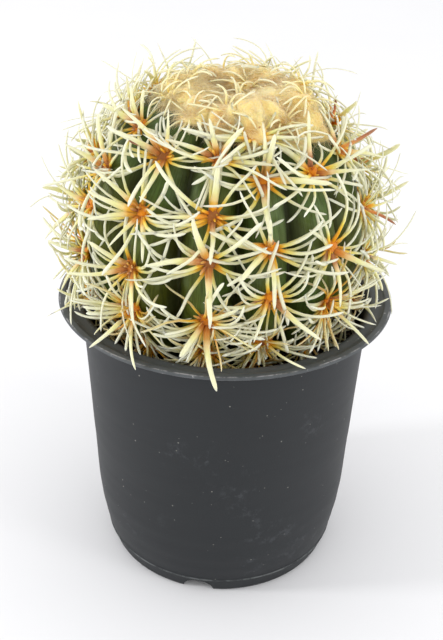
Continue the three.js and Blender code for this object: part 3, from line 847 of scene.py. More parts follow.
def sweep(points, plan, shares, width, thickness, sides, keel=0.0):
    """Skins round many centrelines. At each station the section is an oval whose wide way lies
    across the spine and along the skin, turned on the way by the plan's twist. Its upper half is
    drawn up to a ridge by keel. The last station is one point, and a flat face closes the root."""
    count = len(points)
    along = unit(np.gradient(points, axis=1))
    level = unit(np.cross(plan["out"][:, None], along))
    front = np.cross(along, level)
    twist = plan["twist"][:, None, None] * shares[None, :, None]
    across = level * np.cos(twist) + front * np.sin(twist)
    front = np.cross(along, across)
    angle = np.arange(sides) * 2 * np.pi / sides
    ridge = 1 + keel * np.exp(-(((angle - np.pi / 2) / KEEL_WIDTH) ** 2))
    flat_way = across[:, :-1, None] * (width[:, :-1, None, None] / 2) * np.cos(angle)[:, None]
    deep_way = front[:, :-1, None] * (thickness[:, :-1, None, None] / 2) * (np.sin(angle) * ridge)[:, None]
    rings = points[:, :-1, None] + flat_way + deep_way
    body = np.concatenate([rings.reshape(count, -1, 3), points[:, -1:]], axis=1)
    each = body.shape[1]
    walls = grid_faces(len(shares) - 1, sides)
    tips = fan_faces(each - 1, (len(shares) - 2) * sides, sides, True)
    cap = np.arange(sides)[::-1][None, :]
    shift = (np.arange(count) * each)[:, None, None]
    face_sets = [(faces[None] + shift).reshape(-1, faces.shape[1]) for faces in (walls, tips, cap)]
    marks = {
        "along": np.broadcast_to(np.append(np.repeat(shares[:-1], sides), 1.0), (count, each)),
        "across": np.broadcast_to(np.append(np.tile(np.cos(angle), len(shares) - 1), 0.0), (count, each)),
        "tint": np.repeat(plan["tint"], each),
    }
    return body.reshape(-1, 3), face_sets, marks


def needle_width(shares, base, belly, slim, point):
    """How wide a spine is along its length: base at the root, full at the belly, narrower by slim at
    the far end, and rounded off over the last share, point, with a power of what is left."""
    swell_up = base + (1 - base) * smooth(shares, 0, belly)
    slimmer = 1 - slim * np.clip((shares - belly) / (1 - belly), 0, 1)
    return swell_up * slimmer * np.clip((1 - shares) / point, 0, 1) ** TIP_POWER


print("a spine's width from root to tip:", np.round(needle_width(stations(6), 1.4, 0.2, 0.3, 0.1), 2))

# %% Keeping them clear of the pot and the stem
POT_CLEAR = 1.0
STEM_CLEAR = 1.012
REACH = 67.4
REACH_CENTRE = np.array([-0.5, -0.6])
REACH_SLACK = 0.4
TOP = 191.5
POT_LIFT = np.radians(5)
POT_STRAIGHTEN = np.radians(3)
STEM_LIFT = np.radians(2)
STEM_STRAIGHTEN = np.radians(4)
SHORTEN = 0.95


def over_pot(points):
    """Whether each point keeps clear of the wall and rim of the pot: above the rim, beyond it, or
    well inside the wall and over the soil."""
    reach = np.hypot(points[..., 0], points[..., 1])
    outside = (points[..., 2] > POT_HEIGHT + POT_CLEAR) | (reach > RIM_RADIUS + POT_CLEAR)
    inside = (reach < WALL_TOP_RADIUS - WALL - POT_CLEAR) & (points[..., 2] > SOIL_TOP + POT_CLEAR)
    return outside | inside


def off_stem(points):
    """Whether each point is outside the stem's plain ellipsoid, taken a hundredth larger."""
    local = (points - STEM_CENTRE) @ LEAN
    size = np.array([STEM_RADIUS, STEM_RADIUS, STEM_HALF_HEIGHT])
    return np.linalg.norm(local / size, axis=-1) > STEM_CLEAR


def part_of(plan, kept):
    """The spines of a plan that a table of yes and no keeps."""
    return {key: values[kept] for key, values in plan.items()}


def settle(plan, shares, keep=1.0, rounds=14):
    """Lifts every spine that would pass through the pot or the stem, a few degrees at a time, and
    shortens every spine that reaches out too far. One that meets the pot is cut to a share of its
    length as well, keep. Spines that can't be cleared are dropped."""
    first = len(shares) // 4
    for _ in range(rounds):
        points = grow(plan, shares)
        blocked = ~over_pot(points[:, first:]).all(axis=1)
        buried = ~off_stem(points[:, first + 1 :]).all(axis=1)
        plan["rise"] = plan["rise"] + POT_LIFT * blocked + STEM_LIFT * buried
        plan["arch"] = plan["arch"] - POT_STRAIGHTEN * blocked - STEM_STRAIGHTEN * buried
        reach = np.linalg.norm(points[..., :2] - REACH_CENTRE, axis=-1).max(axis=1)
        beyond = (reach > REACH) | (points[..., 2].max(axis=1) > TOP)
        plan["length"] = plan["length"] * np.where(beyond, SHORTEN, 1.0) * np.where(blocked, keep, 1.0)
    points = grow(plan, shares)
    kept = over_pot(points[:, first:]).all(axis=1)
    kept &= np.linalg.norm(points[..., :2] - REACH_CENTRE, axis=-1).max(axis=1) < REACH + REACH_SLACK
    return part_of(plan, kept), points[kept]


print(f"spines may reach {REACH} mm out and {TOP} mm up")

# %% Plans of spines
AREOLE_LIFT = 0.5
HEART_SPREAD = 0.7
ROOT_SINK = 0.5
SEEN_ARCH = 26


def areole_frames(rib, latitude):
    """Where areoles sit on their crests, with the directions out of the skin, up the rib and across."""
    place = stem_point(latitude, rib, 0.0, AREOLE_LIFT)
    up = unit(stem_point(latitude + 2, rib, 0.0) - stem_point(latitude - 2, rib, 0.0))
    azimuth = rib_azimuth(rib)
    side = np.stack([np.cos(azimuth), np.sin(azimuth), 0 * azimuth], axis=-1) @ LEAN.T
    out = unit(np.cross(side, up))
    return place, out, up, side


def plan_spines(frames, turn, spread, sink, **draws):
    """One plan for all the spines of one sort, from tables of areoles by spines. Each root lies a
    little way out from its areole's middle, by spread, and under the skin, by sink."""
    place, out, up, side = frames
    flat = up[:, None] * np.cos(turn)[..., None] + side[:, None] * np.sin(turn)[..., None]
    root = place[:, None] + flat * spread - out[:, None] * sink
    plan = {"root": root.reshape(-1, 3)}
    for key, vectors in (("out", out), ("up", up), ("side", side)):
        plan[key] = np.broadcast_to(vectors[:, None], root.shape).reshape(-1, 3)
    for key, values in {"turn": turn, **draws}.items():
        plan[key] = np.broadcast_to(values, turn.shape).ravel()
    return plan


def drawer(rib, row, number):
    """A maker of draws for one sort of spine: a middle, plus a swing times the wobble of the areole's rib
    and row and of a seed, which moves on by one for each spine of the areole."""
    return lambda middle, swing, seed: middle + swing * wobble(rib, row, seed + number)


def join_plans(*plans):
    """Several plans as one."""
    return {key: np.concatenate([plan[key] for plan in plans]) for key in plans[0]}


def choose(frames, chosen):
    """The frames of some of the areoles."""
    return tuple(vectors[chosen] for vectors in frames)


def seen_plan(seen, seed):
    """A plan of spines that are listed one by one. The heading that is read in front of the plant is turned
    into a turn and a rise over the skin of its areole, and holds half way along the spine."""
    rows = np.array([(*key, *values) for key, spines in seen.items() for values in spines], float)
    rib, row, clock, lean, length = rows.T
    matches = (areole_rib == rib[:, None]) & (areole_row == row[:, None])
    at = choose(frames, matches.argmax(axis=1))
    _, out, up, side = at
    clock = np.radians(clock)[:, None]
    lean = np.radians(lean)[:, None]
    heading = (VIEW_RIGHT * np.sin(clock) + VIEW_UP * np.cos(clock)) * np.cos(lean) + VIEW_BACK * np.sin(lean)
    climb = np.arcsin(np.clip((heading * out).sum(axis=1), 0.1, 1))[:, None]
    turn = np.arctan2((heading * side).sum(axis=1), (heading * up).sum(axis=1))[:, None]
    index = np.arange(len(rows))[:, None]
    arch = np.radians(SEEN_ARCH + 12 * wobble(index, seed, 1))
    bend = np.radians(18 * wobble(index, seed, 2))
    return plan_spines(
        at, turn - bend / 2, HEART_SPREAD, ROOT_SINK,
        rise=climb + arch / 2,
        arch=arch,
        bend=bend,
        sway=np.radians(8 * wobble(index, seed, 3)),
        twist=np.radians(30 * wobble(index, seed, 4)),
        length=length[:, None],
        girth=1 + 0.22 * wobble(index, seed, 6),
        tint=0.5 + 0.5 * wobble(index, seed, 5),
    )


print("plans can be drawn at random or listed one by one")

# %% Where the spines stand
frames = areole_frames(areole_rib, areole_latitude)
a_rib = areole_rib[:, None]
a_row = areole_row[:, None]
a_latitude = areole_latitude[:, None]
below = smooth(-a_latitude, 0, 25)
warmth = 0.3 * wobble(a_rib, a_row, 7) + 0.3 * below
hidden = smooth(-np.cos(rib_azimuth(a_rib)), 0.0, 0.5) * smooth(a_latitude, 15, 35)
aside = ((np.cos(rib_azimuth(a_rib)) < 0.3) & (a_latitude > -8))[:, 0]
print(f"{aside.sum()} areoles at the sides and the back, {(hidden > 0.5).sum()} behind the crown")

# %% [markdown]
# ## Radial spines
#
# Around each areole fifteen thin spines spread like an untidy star, in two layers. Most go in bunches
# to the left and the right, droop at first and then sweep up. They are ivory, with strong orange
# towards the root. Those that lean in over the wool are shorter and finer. On the lower half some more
# hang down, and a few that stand out in the picture are listed one by one. Round the sides and the back
# thin pale wisps curl in all directions, and soften the outline. Seeds one apart make draws that step
# evenly, which would set the wisps in a fan, so theirs lie further apart. The lowest areoles, deep in
# the gap, have lost their stars.

# %% Stars of radial spines
RADIALS = 15
STAR_SPREAD = 1.0
RADIAL_LENGTH = 23
RADIAL_WIDTH = 1.18
RADIAL_THICKNESS = 0.85
LOWEST_STAR = -34
HANGING_LATITUDE = 10

number = np.arange(RADIALS)[None, :]
layer = number % 2
draw = drawer(a_rib, a_row, number)
even_turn = draw(2 * np.pi * (number + 0.5) / RADIALS, np.radians(12), 20)
turn = even_turn + 0.3 * np.sin(2 * even_turn) + 0.3 * np.sin(even_turn)
upward = smooth(a_latitude, 28, 42) * smooth(np.cos(turn), -0.3, 0.6)
radial_plan = plan_spines(
    frames, turn, STAR_SPREAD, ROOT_SINK,
    rise=np.radians(draw(23 + 18 * layer, 13, 40)),
    arch=np.radians(draw(48, 28, 60) + 30 * hidden),
    bend=np.radians(draw(0, 38, 80) - 56 * np.sin(turn)),
    sway=np.radians(draw(0, 11, 100)),
    twist=np.radians(draw(0, 60, 120)),
    length=RADIAL_LENGTH * (draw(1, 0.2, 140) - 0.07 * layer) * (1 - 0.4 * upward),
    girth=1 - 0.2 * upward - 0.22 * hidden,
    tint=np.clip(draw(0.5 + warmth, 0.4, 160), 0, 1),
)
has_star = areole_latitude > LOWEST_STAR
radial_plan = part_of(radial_plan, np.repeat(has_star, RADIALS))
hangs = has_star & ((areole_latitude < HANGING_LATITUDE) | (hidden[:, 0] > 0.5))
print(f"{len(radial_plan['turn'])} spines in stars")

# %% Hanging spines and wisps
HANGING = 4
WISPS = 8
WISP_STRIDE = 7.3

way = np.pi * (1 - smooth(hidden[hangs], 0, 1))
draw = drawer(a_rib[hangs], a_row[hangs], np.arange(HANGING)[None, :])
hanging_plan = plan_spines(
    choose(frames, hangs), draw(way, 0.95, 171), STAR_SPREAD, ROOT_SINK,
    rise=np.radians(draw(30, 18, 181)),
    arch=np.radians(draw(46, 30, 188)),
    bend=np.radians(draw(0, 64, 195)),
    sway=np.radians(draw(0, 12, 202)),
    twist=np.radians(draw(0, 60, 209)),
    length=0.9 * RADIAL_LENGTH * draw(1, 0.22, 216),
    girth=draw(0.85, 0.1, 223),
    tint=np.clip(draw(0.4 + 0.3 * below[hangs], 0.4, 230), 0, 1),
)
draw = drawer(a_rib[aside], a_row[aside], WISP_STRIDE * np.arange(WISPS)[None, :])
wisp_plan = plan_spines(
    choose(frames, aside), draw(0, np.pi, 701), STAR_SPREAD, ROOT_SINK,
    rise=np.radians(draw(42, 28, 711)),
    arch=np.radians(draw(64, 44, 721)),
    bend=np.radians(draw(0, 84, 731)),
    sway=np.radians(draw(0, 24, 741)),
    twist=np.radians(draw(0, 60, 751)),
    length=RADIAL_LENGTH * draw(1, 0.25, 761),
    girth=draw(0.6, 0.12, 771),
    tint=draw(0.2, 0.2, 781),
)
print(f"{len(hanging_plan['turn'])} hanging spines and {len(wisp_plan['turn'])} wisps")

# %% Make the radial spines
RADIAL_SIDES = 5
RADIAL_STATIONS = stations(12)
SEEN_RADIALS = {
    (10, 1): [(191, 20, 26), (184, 20, 15), (176, 25, 16), (164, 25, 16)],
    (11, 0): [(276, 20, 21), (270, 24, 17), (262, 22, 16), (284, 15, 15), (120, 20, 19), (112, 15, 20)],
    (12, 1): [(66, 20, 20), (98, 20, 18), (108, 20, 20), (250, 30, 15)],
    (0, 0): [(250, 35, 16), (262, 20, 20), (108, 22, 19), (96, 22, 17)],
    (1, 1): [(96, 25, 19), (118, 25, 19), (240, 20, 17)],
}

star_plan = join_plans(radial_plan, hanging_plan, wisp_plan)
radial_plan, radial_lines = settle(star_plan, RADIAL_STATIONS, keep=0.9)
seen_thin, seen_thin_lines = settle(seen_plan(SEEN_RADIALS, 57), RADIAL_STATIONS)
radial_plan = join_plans(radial_plan, seen_thin)
radial_lines = np.concatenate([radial_lines, seen_thin_lines])
plump = 1 + 0.22 * wobble(radial_plan["length"], radial_plan["turn"], 3)[:, None]
slim = 0.22 + 0.26 * wobble(radial_plan["turn"], radial_plan["length"], 4)[:, None]
shape = radial_plan["girth"][:, None] * plump * needle_width(RADIAL_STATIONS, 1.45, 0.16, slim, 0.07)
radial_mesh = make_mesh("radial_spines", *sweep(
    radial_lines, radial_plan, RADIAL_STATIONS, RADIAL_WIDTH * shape, RADIAL_THICKNESS * shape, RADIAL_SIDES
))
print(f"{len(radial_lines)} radial spines")

# %% [markdown]
# ## Central spines
#
# In the middle of each star stand two to five stout ones, flattened like the blade of a lance, with
# a ridge along the upper side and fine grooves. One nearly always hangs down over the next areole. On
# the side that is seen their directions are listed one by one, because they are what one notices first.
# The clock angle is read as one faces the plant, 0 up and 90 to the right, and lean is how far the spine
# points towards the viewer. On the other side they are drawn at random.

# %% Central spines that are listed one by one
SEEN_CENTRALS = {
    (0, 4): [(92, 20, 14), (268, 20, 14), (185, 60, 11)],
    (0, 3): [(358, 30, 18), (174, 25, 21), (95, 20, 21), (278, 20, 19), (14, 35, 15)],
    (0, 2): [(177, 22, 20), (355, 68, 18), (284, 20, 21), (222, 35, 17)],
    (0, 1): [(132, 25, 22), (200, 30, 17), (262, 20, 19)],
    (0, 0): [(124, 46, 22), (338, 40, 16), (185, 20, 8)],
    (1, 3): [(356, 20, 19), (88, 20, 19), (305, 30, 15), (128, 20, 17)],
    (1, 2): [(300, 55, 15), (172, 20, 20), (115, 15, 19), (205, 25, 15)],
    (1, 1): [(135, 24, 21), (66, 20, 19), (285, 30, 13)],
    (2, 3): [(335, 20, 14), (98, 5, 16), (150, 15, 15)],
    (2, 2): [(310, 25, 13), (0, 20, 14), (165, 20, 15)],
    (2, 1): [(105, 5, 13), (150, 20, 15), (230, 25, 14)],
    (10, 4): [(345, 25, 13), (5, 30, 12), (300, 15, 14)],
    (10, 3): [(350, 20, 17), (300, 10, 16), (130, 25, 15)],
    (10, 2): [(300, 5, 15), (185, 30, 14)],
    (10, 1): [(192, 15, 20), (215, 15, 16), (285, 5, 14)],
    (11, 3): [(318, 15, 20), (296, 20, 17), (6, 30, 15), (205, 30, 19)],
    (11, 2): [(312, 15, 20), (290, 20, 18), (262, 15, 17), (222, 25, 16), (178, 30, 18)],
    (11, 1): [(176, 25, 21), (263, 15, 22), (300, 25, 16)],
    (11, 0): [(278, 15, 20), (178, 28, 22), (226, 28, 22)],
    (12, 4): [(346, 35, 13), (42, 35, 13), (100, 20, 18), (288, 20, 17)],
    (12, 3): [(182, 25, 16), (8, 30, 16), (268, 22, 21)],
    (12, 2): [(178, 22, 20), (265, 25, 21), (338, 50, 19), (305, 25, 17)],
    (12, 1): [(170, 10, 23), (215, 25, 15), (72, 55, 18)],
}
WITHERED = {
    (2, 3): [(62, 5, 15)],
    (2, 2): [(115, 5, 13)],
    (3, 3): [(14, 20, 9)],
    (11, 3): [(292, 15, 12)],
}
print(f"{len(SEEN_CENTRALS)} stars and {len(WITHERED)} withered spines are set by eye")

# %% Central spines
CENTRALS = 3
CENTRAL_LENGTH = 20
CENTRAL_WIDTH = 2.15
CENTRAL_THICKNESS = 1.1
CENTRAL_SIDES = 8
CENTRAL_STATIONS = stations(11)
WITHERED_WIDTH = 1.5
WITHERED_SIDES = 6

seen_keys = np.array(list(SEEN_CENTRALS))
unseen = ~((a_rib == seen_keys[:, 0]) & (a_row == seen_keys[:, 1])).any(axis=1)
number = np.arange(CENTRALS)[None, :]
draw = drawer(a_rib[unseen], a_row[unseen], number)
central_plan = plan_spines(
    choose(frames, unseen), np.radians(draw(180 + 115 * number, 22, 211)), HEART_SPREAD, ROOT_SINK,
    rise=np.radians(draw(46, 15, 221)),
    arch=np.radians(draw(32, 22, 231)),
    bend=np.radians(draw(0, 30, 241)),
    sway=np.radians(draw(0, 10, 251)),
    twist=np.radians(draw(0, 40, 261)),
    length=CENTRAL_LENGTH * draw(1, 0.14, 271),
    girth=draw(1, 0.22, 276) - 0.35 * hidden[unseen],
    tint=draw(0.5, 0.5, 281),
)
central_plan, central_lines = settle(join_plans(seen_plan(SEEN_CENTRALS, 91), central_plan), CENTRAL_STATIONS)
slim = 0.52 + 0.26 * wobble(central_plan["turn"], central_plan["length"], 6)[:, None]
shape = central_plan["girth"][:, None] * needle_width(CENTRAL_STATIONS, 1.12, 0.2, slim, 0.1)
central_mesh = make_mesh("central_spines", *sweep(
    central_lines, central_plan, CENTRAL_STATIONS, CENTRAL_WIDTH * shape, CENTRAL_THICKNESS * shape,
    CENTRAL_SIDES, keel=0.35
))
withered_plan, withered_lines = settle(seen_plan(WITHERED, 17), CENTRAL_STATIONS)
shape = needle_width(CENTRAL_STATIONS, 0.9, 0.3, 0.3, 0.15) * np.ones((len(withered_lines), 1))
withered_mesh = make_mesh("withered_spines", *sweep(
    withered_lines, withered_plan, CENTRAL_STATIONS, WITHERED_WIDTH * shape, 0.7 * WITHERED_WIDTH * shape,
    WITHERED_SIDES
))
print(f"{len(central_lines)} central spines and {len(withered_lines)} withered ones")

# %% [markdown]
# ## Short and old spines
#
# A knot of short bristles, bright orange or mauve-brown, fills the heart of each star. Low on the
# stem, where the oldest areoles are, thin dry spines tangle in the gap between the stem and the rim.

# %% Bristles
BRISTLES = 10
BRISTLE_LENGTH = 3.6
BRISTLE_WIDTH = 1.0
BRISTLE_STATIONS = stations(6)
FINE_SIDES = 5

draw = drawer(a_rib, a_row, np.arange(BRISTLES)[None, :])
bristle_plan = plan_spines(
    frames, draw(0, np.pi, 301), 0.8, 0.4,
    rise=np.radians(draw(52, 38, 311)),
    arch=np.radians(draw(24, 30, 321)),
    bend=np.radians(draw(0, 40, 331)),
    sway=0.0,
    twist=0.0,
    length=BRISTLE_LENGTH * draw(1, 0.6, 341),
    tint=np.clip(draw(0.6 + 1.5 * warmth, 0.5, 351), 0, 1),
)
bristle_plan, bristle_lines = settle(bristle_plan, BRISTLE_STATIONS)
plump = 1 + 0.25 * wobble(bristle_plan["turn"], 1, 2)[:, None]
shape = needle_width(BRISTLE_STATIONS, 1.3, 0.3, 0.4, 0.15) * plump
bristle_mesh = make_mesh("bristles", *sweep(
    bristle_lines, bristle_plan, BRISTLE_STATIONS, BRISTLE_WIDTH * shape, 0.8 * BRISTLE_WIDTH * shape,
    FINE_SIDES
))
print(f"{len(bristle_lines)} bristles")

# %% Old spines
OLD_SPINES = 18
OLD_LATITUDE = -4
OLD_LENGTH = 18
OLD_WIDTH = 0.9
OLD_STATIONS = stations(9)

low = areole_latitude < OLD_LATITUDE
draw = drawer(a_rib[low], a_row[low], np.arange(OLD_SPINES)[None, :])
old_plan = plan_spines(
    choose(frames, low), draw(0, np.pi, 401), 1.1, ROOT_SINK,
    rise=np.radians(draw(36, 26, 411)),
    arch=np.radians(draw(46, 44, 421)),
    bend=np.radians(draw(0, 80, 431)),
    sway=np.radians(draw(0, 24, 441)),
    twist=np.radians(draw(0, 70, 451)),
    length=OLD_LENGTH * draw(1, 0.3, 461),
    tint=draw(0.5, 0.5, 471),
)
old_plan, old_lines = settle(old_plan, OLD_STATIONS, keep=0.9)
shape = needle_width(OLD_STATIONS, 0.9, 0.2, 0.15, 0.08) * np.ones((len(old_lines), 1))
old_mesh = make_mesh("old_spines", *sweep(
    old_lines, old_plan, OLD_STATIONS, OLD_WIDTH * shape, 0.7 * OLD_WIDTH * shape, FINE_SIDES
))
print(f"{len(old_lines)} old spines")

# %% [markdown]
# ## The colour of the spines
#
# The colour changes along each spine, so it reads the share of the way from root to tip that is
# stored on the points. A second stored number, one draw for each spine, makes some warmer and some
# paler. Fine lengthwise streaks and a little bump give the horn its grain. Light shines through a
# spine, so a share of it scatters under the surface.

# %% Horn of the spines
def horn(name, stops_warm, stops_pale):
    """A spine's finish: two ramps along its length, mixed by the draw for each spine."""
    finish = Finish(name, {
        "IOR": 1.5, "Specular IOR Level": 0.3,
        "Subsurface Weight": 0.7, "Subsurface Radius": (1.0, 0.95, 0.75), "Subsurface Scale": 0.003,
    })
    here = finish.place()
    cloud = finish.noise(here, 420.0, 2.0)
    along = finish.mark("along") + 0.1 * (cloud - 0.5)
    colour = finish.mix(finish.mark("tint"), finish.ramp(along, stops_pale), finish.ramp(along, stops_warm))
    tint_lines = finish.node("CombineXYZ", {}, {0: finish.mark("across"), 1: finish.mark("tint")})
    lines = finish.noise(finish.stretch(tint_lines, (3.5, 40, 1)), 1.0, 2.0)
    colour = finish.mix(lines.between(0.5, 0.7) * 0.25, colour, shade(216, 204, 156))
    # The two flat edges of each spine are mixed a little darker and yellower: partly the horn's own colour,
    # partly painted shade.
    edge = finish.mark("across") * finish.mark("across")
    colour = finish.mix(edge * edge * 0.12, colour, shade(224, 212, 158))
    finish.dress(colour, 0.45 + 0.15 * cloud, finish.bump(lines, 0.4, 0.0004))
    return finish


print("horn can be mixed")

# %% Colours from root to tip
ORANGE = shade(246, 156, 4)
DEEP = shade(186, 88, 2)
AMBER = shade(246, 182, 44)
YELLOW = shade(232, 202, 88)
CREAM = shade(222, 218, 154)
IVORY = shade(223, 221, 180)
TIP = shade(222, 224, 196)
MAUVE = shade(136, 86, 60)
BROWN = shade(104, 52, 20)
radial_horn = horn(
    "radial_horn",
    [
        (0.0, DEEP), (0.05, ORANGE), (0.17, ORANGE), (0.24, AMBER),
        (0.31, YELLOW), (0.42, CREAM), (0.55, IVORY), (1.0, TIP),
    ],
    [
        (0.0, BROWN), (0.06, shade(210, 120, 40)), (0.15, AMBER),
        (0.24, shade(218, 218, 130)), (0.42, IVORY), (1.0, TIP),
    ],
)
central_horn = horn(
    "central_horn",
    [
        (0.0, BROWN), (0.04, DEEP), (0.11, ORANGE), (0.16, ORANGE),
        (0.25, AMBER), (0.34, shade(236, 206, 140)), (0.5, CREAM), (0.7, IVORY),
    ],
    [
        (0.0, BROWN), (0.06, MAUVE), (0.25, shade(164, 112, 76)),
        (0.35, shade(218, 186, 144)), (0.5, CREAM), (0.65, IVORY),
    ],
)
bristle_horn = horn(
    "bristle_horn",
    [(0.0, BROWN), (0.3, DEEP), (0.6, shade(238, 146, 18)), (1.0, AMBER)],
    [(0.0, BROWN), (0.5, MAUVE), (1.0, shade(206, 150, 100))],
)
old_horn = horn(
    "old_horn",
    [
        (0.0, BROWN), (0.1, DEEP), (0.34, ORANGE),
        (0.48, shade(196, 132, 62)), (0.65, shade(190, 152, 92)), (1.0, shade(206, 184, 134)),
    ],
    [
        (0.0, shade(160, 84, 24)), (0.14, ORANGE), (0.27, AMBER),
        (0.4, shade(204, 176, 106)), (0.6, shade(212, 200, 138)), (1.0, shade(218, 212, 162)),
    ],
)
withered_horn = horn(
    "withered_horn",
    [(0.0, ORANGE), (0.3, shade(226, 140, 70)), (0.55, shade(176, 100, 66)), (1.0, shade(110, 66, 58))],
    [(0.0, ORANGE), (0.3, shade(214, 150, 90)), (0.6, shade(160, 96, 66)), (1.0, shade(126, 80, 66))],
)
print("five sorts of horn are mixed")

# %% Dress the spines
spine_sorts = (
    (radial_mesh, radial_horn), (central_mesh, central_horn), (bristle_mesh, bristle_horn),
    (old_mesh, old_horn), (withered_mesh, withered_horn),
)
for mesh, finish in spine_sorts:
    spines = add_object(mesh.name, mesh, finish.material)
    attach(spines, "root")
    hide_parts("cactus")

# %% [markdown]
# ## Areoles
#
# An areole is a small oval cushion of short felt. It is what makes a cactus a cactus. Here it is a
# low dome with a ring of points for each height, and its rim turns in under the skin.

# %% Felt cushions
PAD_RINGS = 6
PAD_SIDES = 14
PAD_LONG = 2.9
PAD_WIDE = 2.4
PAD_HIGH = 1.2
PAD_TURNED_IN = 100

place, out, up, side = frames
polar = np.radians(np.linspace(0, PAD_TURNED_IN, PAD_RINGS + 1)[1:])[None, :, None]
turn = (np.arange(PAD_SIDES) * 2 * np.pi / PAD_SIDES)[None, None, :]
lump = 1 + 0.22 * wobble(areole_rib[:, None, None], areole_row[:, None, None], 3 + np.round(7 * np.sin(turn)))
lump = lump * (1 + 0.4 * below[:, :, None])
pad_points = (
    place[:, None, None]
    + (up[:, None, None] * (PAD_LONG * np.cos(turn) * np.sin(polar) * lump)[..., None])
    + (side[:, None, None] * (PAD_WIDE * np.sin(turn) * np.sin(polar) * lump)[..., None])
    + (out[:, None, None] * (PAD_HIGH * np.cos(polar) + 0 * turn)[..., None])
)
pad_tops = place + out * PAD_HIGH
pads = np.concatenate([pad_tops[:, None], pad_points.reshape(len(place), -1, 3)], axis=1)
shift = (np.arange(len(place)) * pads.shape[1])[:, None, None]
pad_walls = grid_faces(PAD_RINGS, PAD_SIDES) + 1
pad_crown = fan_faces(0, 1, PAD_SIDES, False)
pad_base = (1 + (PAD_RINGS - 1) * PAD_SIDES + np.arange(PAD_SIDES))[None, :]
pad_faces = [(f[None] + shift).reshape(-1, f.shape[1]) for f in (pad_walls, pad_crown, pad_base)]

print(f"{len(pads)} cushions")

# %% Orange felt
felt = Finish("areole_felt", {"Sheen Weight": 0.4, "Sheen Roughness": 0.5, "Specular IOR Level": 0.2})
here = felt.place()
tuft = felt.noise(here, 900.0, 3.0)
felt_colour = felt.mix(tuft, shade(180, 92, 4), shade(232, 148, 12))
worn = felt.noise(here, 120.0, 2.0).between(0.45, 0.6)
felt_colour = felt.mix(worn * 0.8, felt_colour, shade(128, 80, 46))
felt.dress(felt_colour, 0.85 + 0.1 * tuft, felt.bump(tuft, 0.8, 0.0008))
areole_pads = add_object("areole_pads", make_mesh("areole_pads", pads, pad_faces), felt.material)
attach(areole_pads, "root")
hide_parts("cactus")

# %% [markdown]
# ## The woolly crown
#
# New areoles form at the top of the stem, so closely that their wool grows together into a felted
# cap. The cap is a sheet over the crown, raised into soft tufts that run into each other. Its edge
# tucks in under itself and follows the ribs. Thousands of fine hairs lie on it, combed outwards from
# the middle of each tuft, and break up its outline.

# %% The wool's outline and height
WOOL_EDGE = 32.5
WOOL_EDGE_SHIFT = 4.5
WOOL_EDGE_WAVE = 1.6
WOOL_TONGUE = 8
TONGUE_AZIMUTH = np.radians(66)
TONGUE_WIDTH = np.radians(30)
WOOL_SEAT = 0.8
WOOL_THICKNESS = 3.6
WOOL_EDGE_THICKNESS = 0.9
WOOL_LUMPS = 0.3


def wool_edge(azimuth):
    """The polar angle of the wool's edge in degrees: uneven, further down on the right, and with a
    tongue at the front right."""
    tongue = WOOL_TONGUE * np.exp(-(((np.mod(azimuth, 2 * np.pi) - TONGUE_AZIMUTH) / TONGUE_WIDTH) ** 2))
    return WOOL_EDGE + WOOL_EDGE_SHIFT * np.sin(azimuth) + WOOL_EDGE_WAVE * np.sin(3 * azimuth + 1) + tongue


def wool_height(share, azimuth):
    """The wool's height over the stem: a low ring of tufts round a slight hollow, thin at the edge."""
    ring = 0.6 + 0.4 * np.sin(np.pi * np.clip(share, 0, 1) ** 0.8)
    broad = np.sin(5 * azimuth + 0.6) * np.sin(7 * share + 1)
    fine = 0.7 * np.sin(8 * azimuth + 5 * share)
    edge = 1 - smooth(share, 0.45, 1)
    return WOOL_EDGE_THICKNESS + WOOL_THICKNESS * edge * ring * (1 + WOOL_LUMPS * (broad + fine) * share)


def crown_point(share, azimuth, lift):
    """A point over the crown, at a share of the way from the apex out to the wool's edge."""
    turns = (azimuth / (2 * np.pi) - FIRST_RIB / 360) * RIBS
    rib = np.floor(turns + 0.5)
    latitude = 90 - share * wool_edge(azimuth)
    return stem_point(latitude, rib, turns - rib, lift)


edge_angles = wool_edge(np.radians(np.arange(360)))
print(f"the wool ends {edge_angles.min():.0f} to {edge_angles.max():.0f} degrees from the top")

# %% Tufts
GOLDEN_ANGLE = 2.39996
TUFTS = 30
TUFT_HEIGHT = 3.0
TUFT_REACH = 5.6
SMALL_TUFTS = 260
SMALL_HEIGHT = 0.9
SMALL_REACH = 1.9
TUFT_POWER = 5


def scatter_tufts(count, seed):
    """Middles of tufts spread evenly over the crown, on a golden spiral with a small draw, and the
    size of each."""
    index = np.arange(count)
    share = 0.97 * np.sqrt((index + 0.5) / count)
    azimuth = index * GOLDEN_ANGLE + 0.4 * wobble(index, seed, 2)
    return crown_point(share, azimuth, 0.0), 1 + 0.35 * wobble(index, seed, 4)


big_tufts, big_size = scatter_tufts(TUFTS, 1)
small_tufts, small_size = scatter_tufts(SMALL_TUFTS, 9)


def pillow(here, tufts, size, reach):
    """Soft tufts that run into each other: a high-power mean of one bell for each tuft, each bell
    falling with the square of the distance from its middle over its reach."""
    total = 0.0
    for middle, big in zip(tufts, size):
        square = ((here - middle) ** 2).sum(axis=-1) / (reach * big) ** 2
        total = total + (big * np.exp(-square)) ** TUFT_POWER
    return total ** (1 / TUFT_POWER)


def wool_lift(share, azimuth):
    """The whole height of the wool over the stem, and how far up a tuft each place is."""
    here = crown_point(share, azimuth, 0.0)
    dome = pillow(here, big_tufts, big_size, TUFT_REACH)
    lump = pillow(here, small_tufts, small_size, SMALL_REACH)
    inner = 1 - smooth(share, 0.82, 1.0)
    tufted = TUFT_HEIGHT * (dome - 0.55) + SMALL_HEIGHT * (lump - 0.5)
    return WOOL_SEAT + wool_height(share, azimuth) + tufted * inner, 0.7 * dome + 0.3 * lump


print(f"{len(big_tufts)} large tufts and {len(small_tufts)} small ones")

# %% The cap of wool
WOOL_RINGS = 70
WOOL_SIDES = 280
UNDER_ROWS = 6

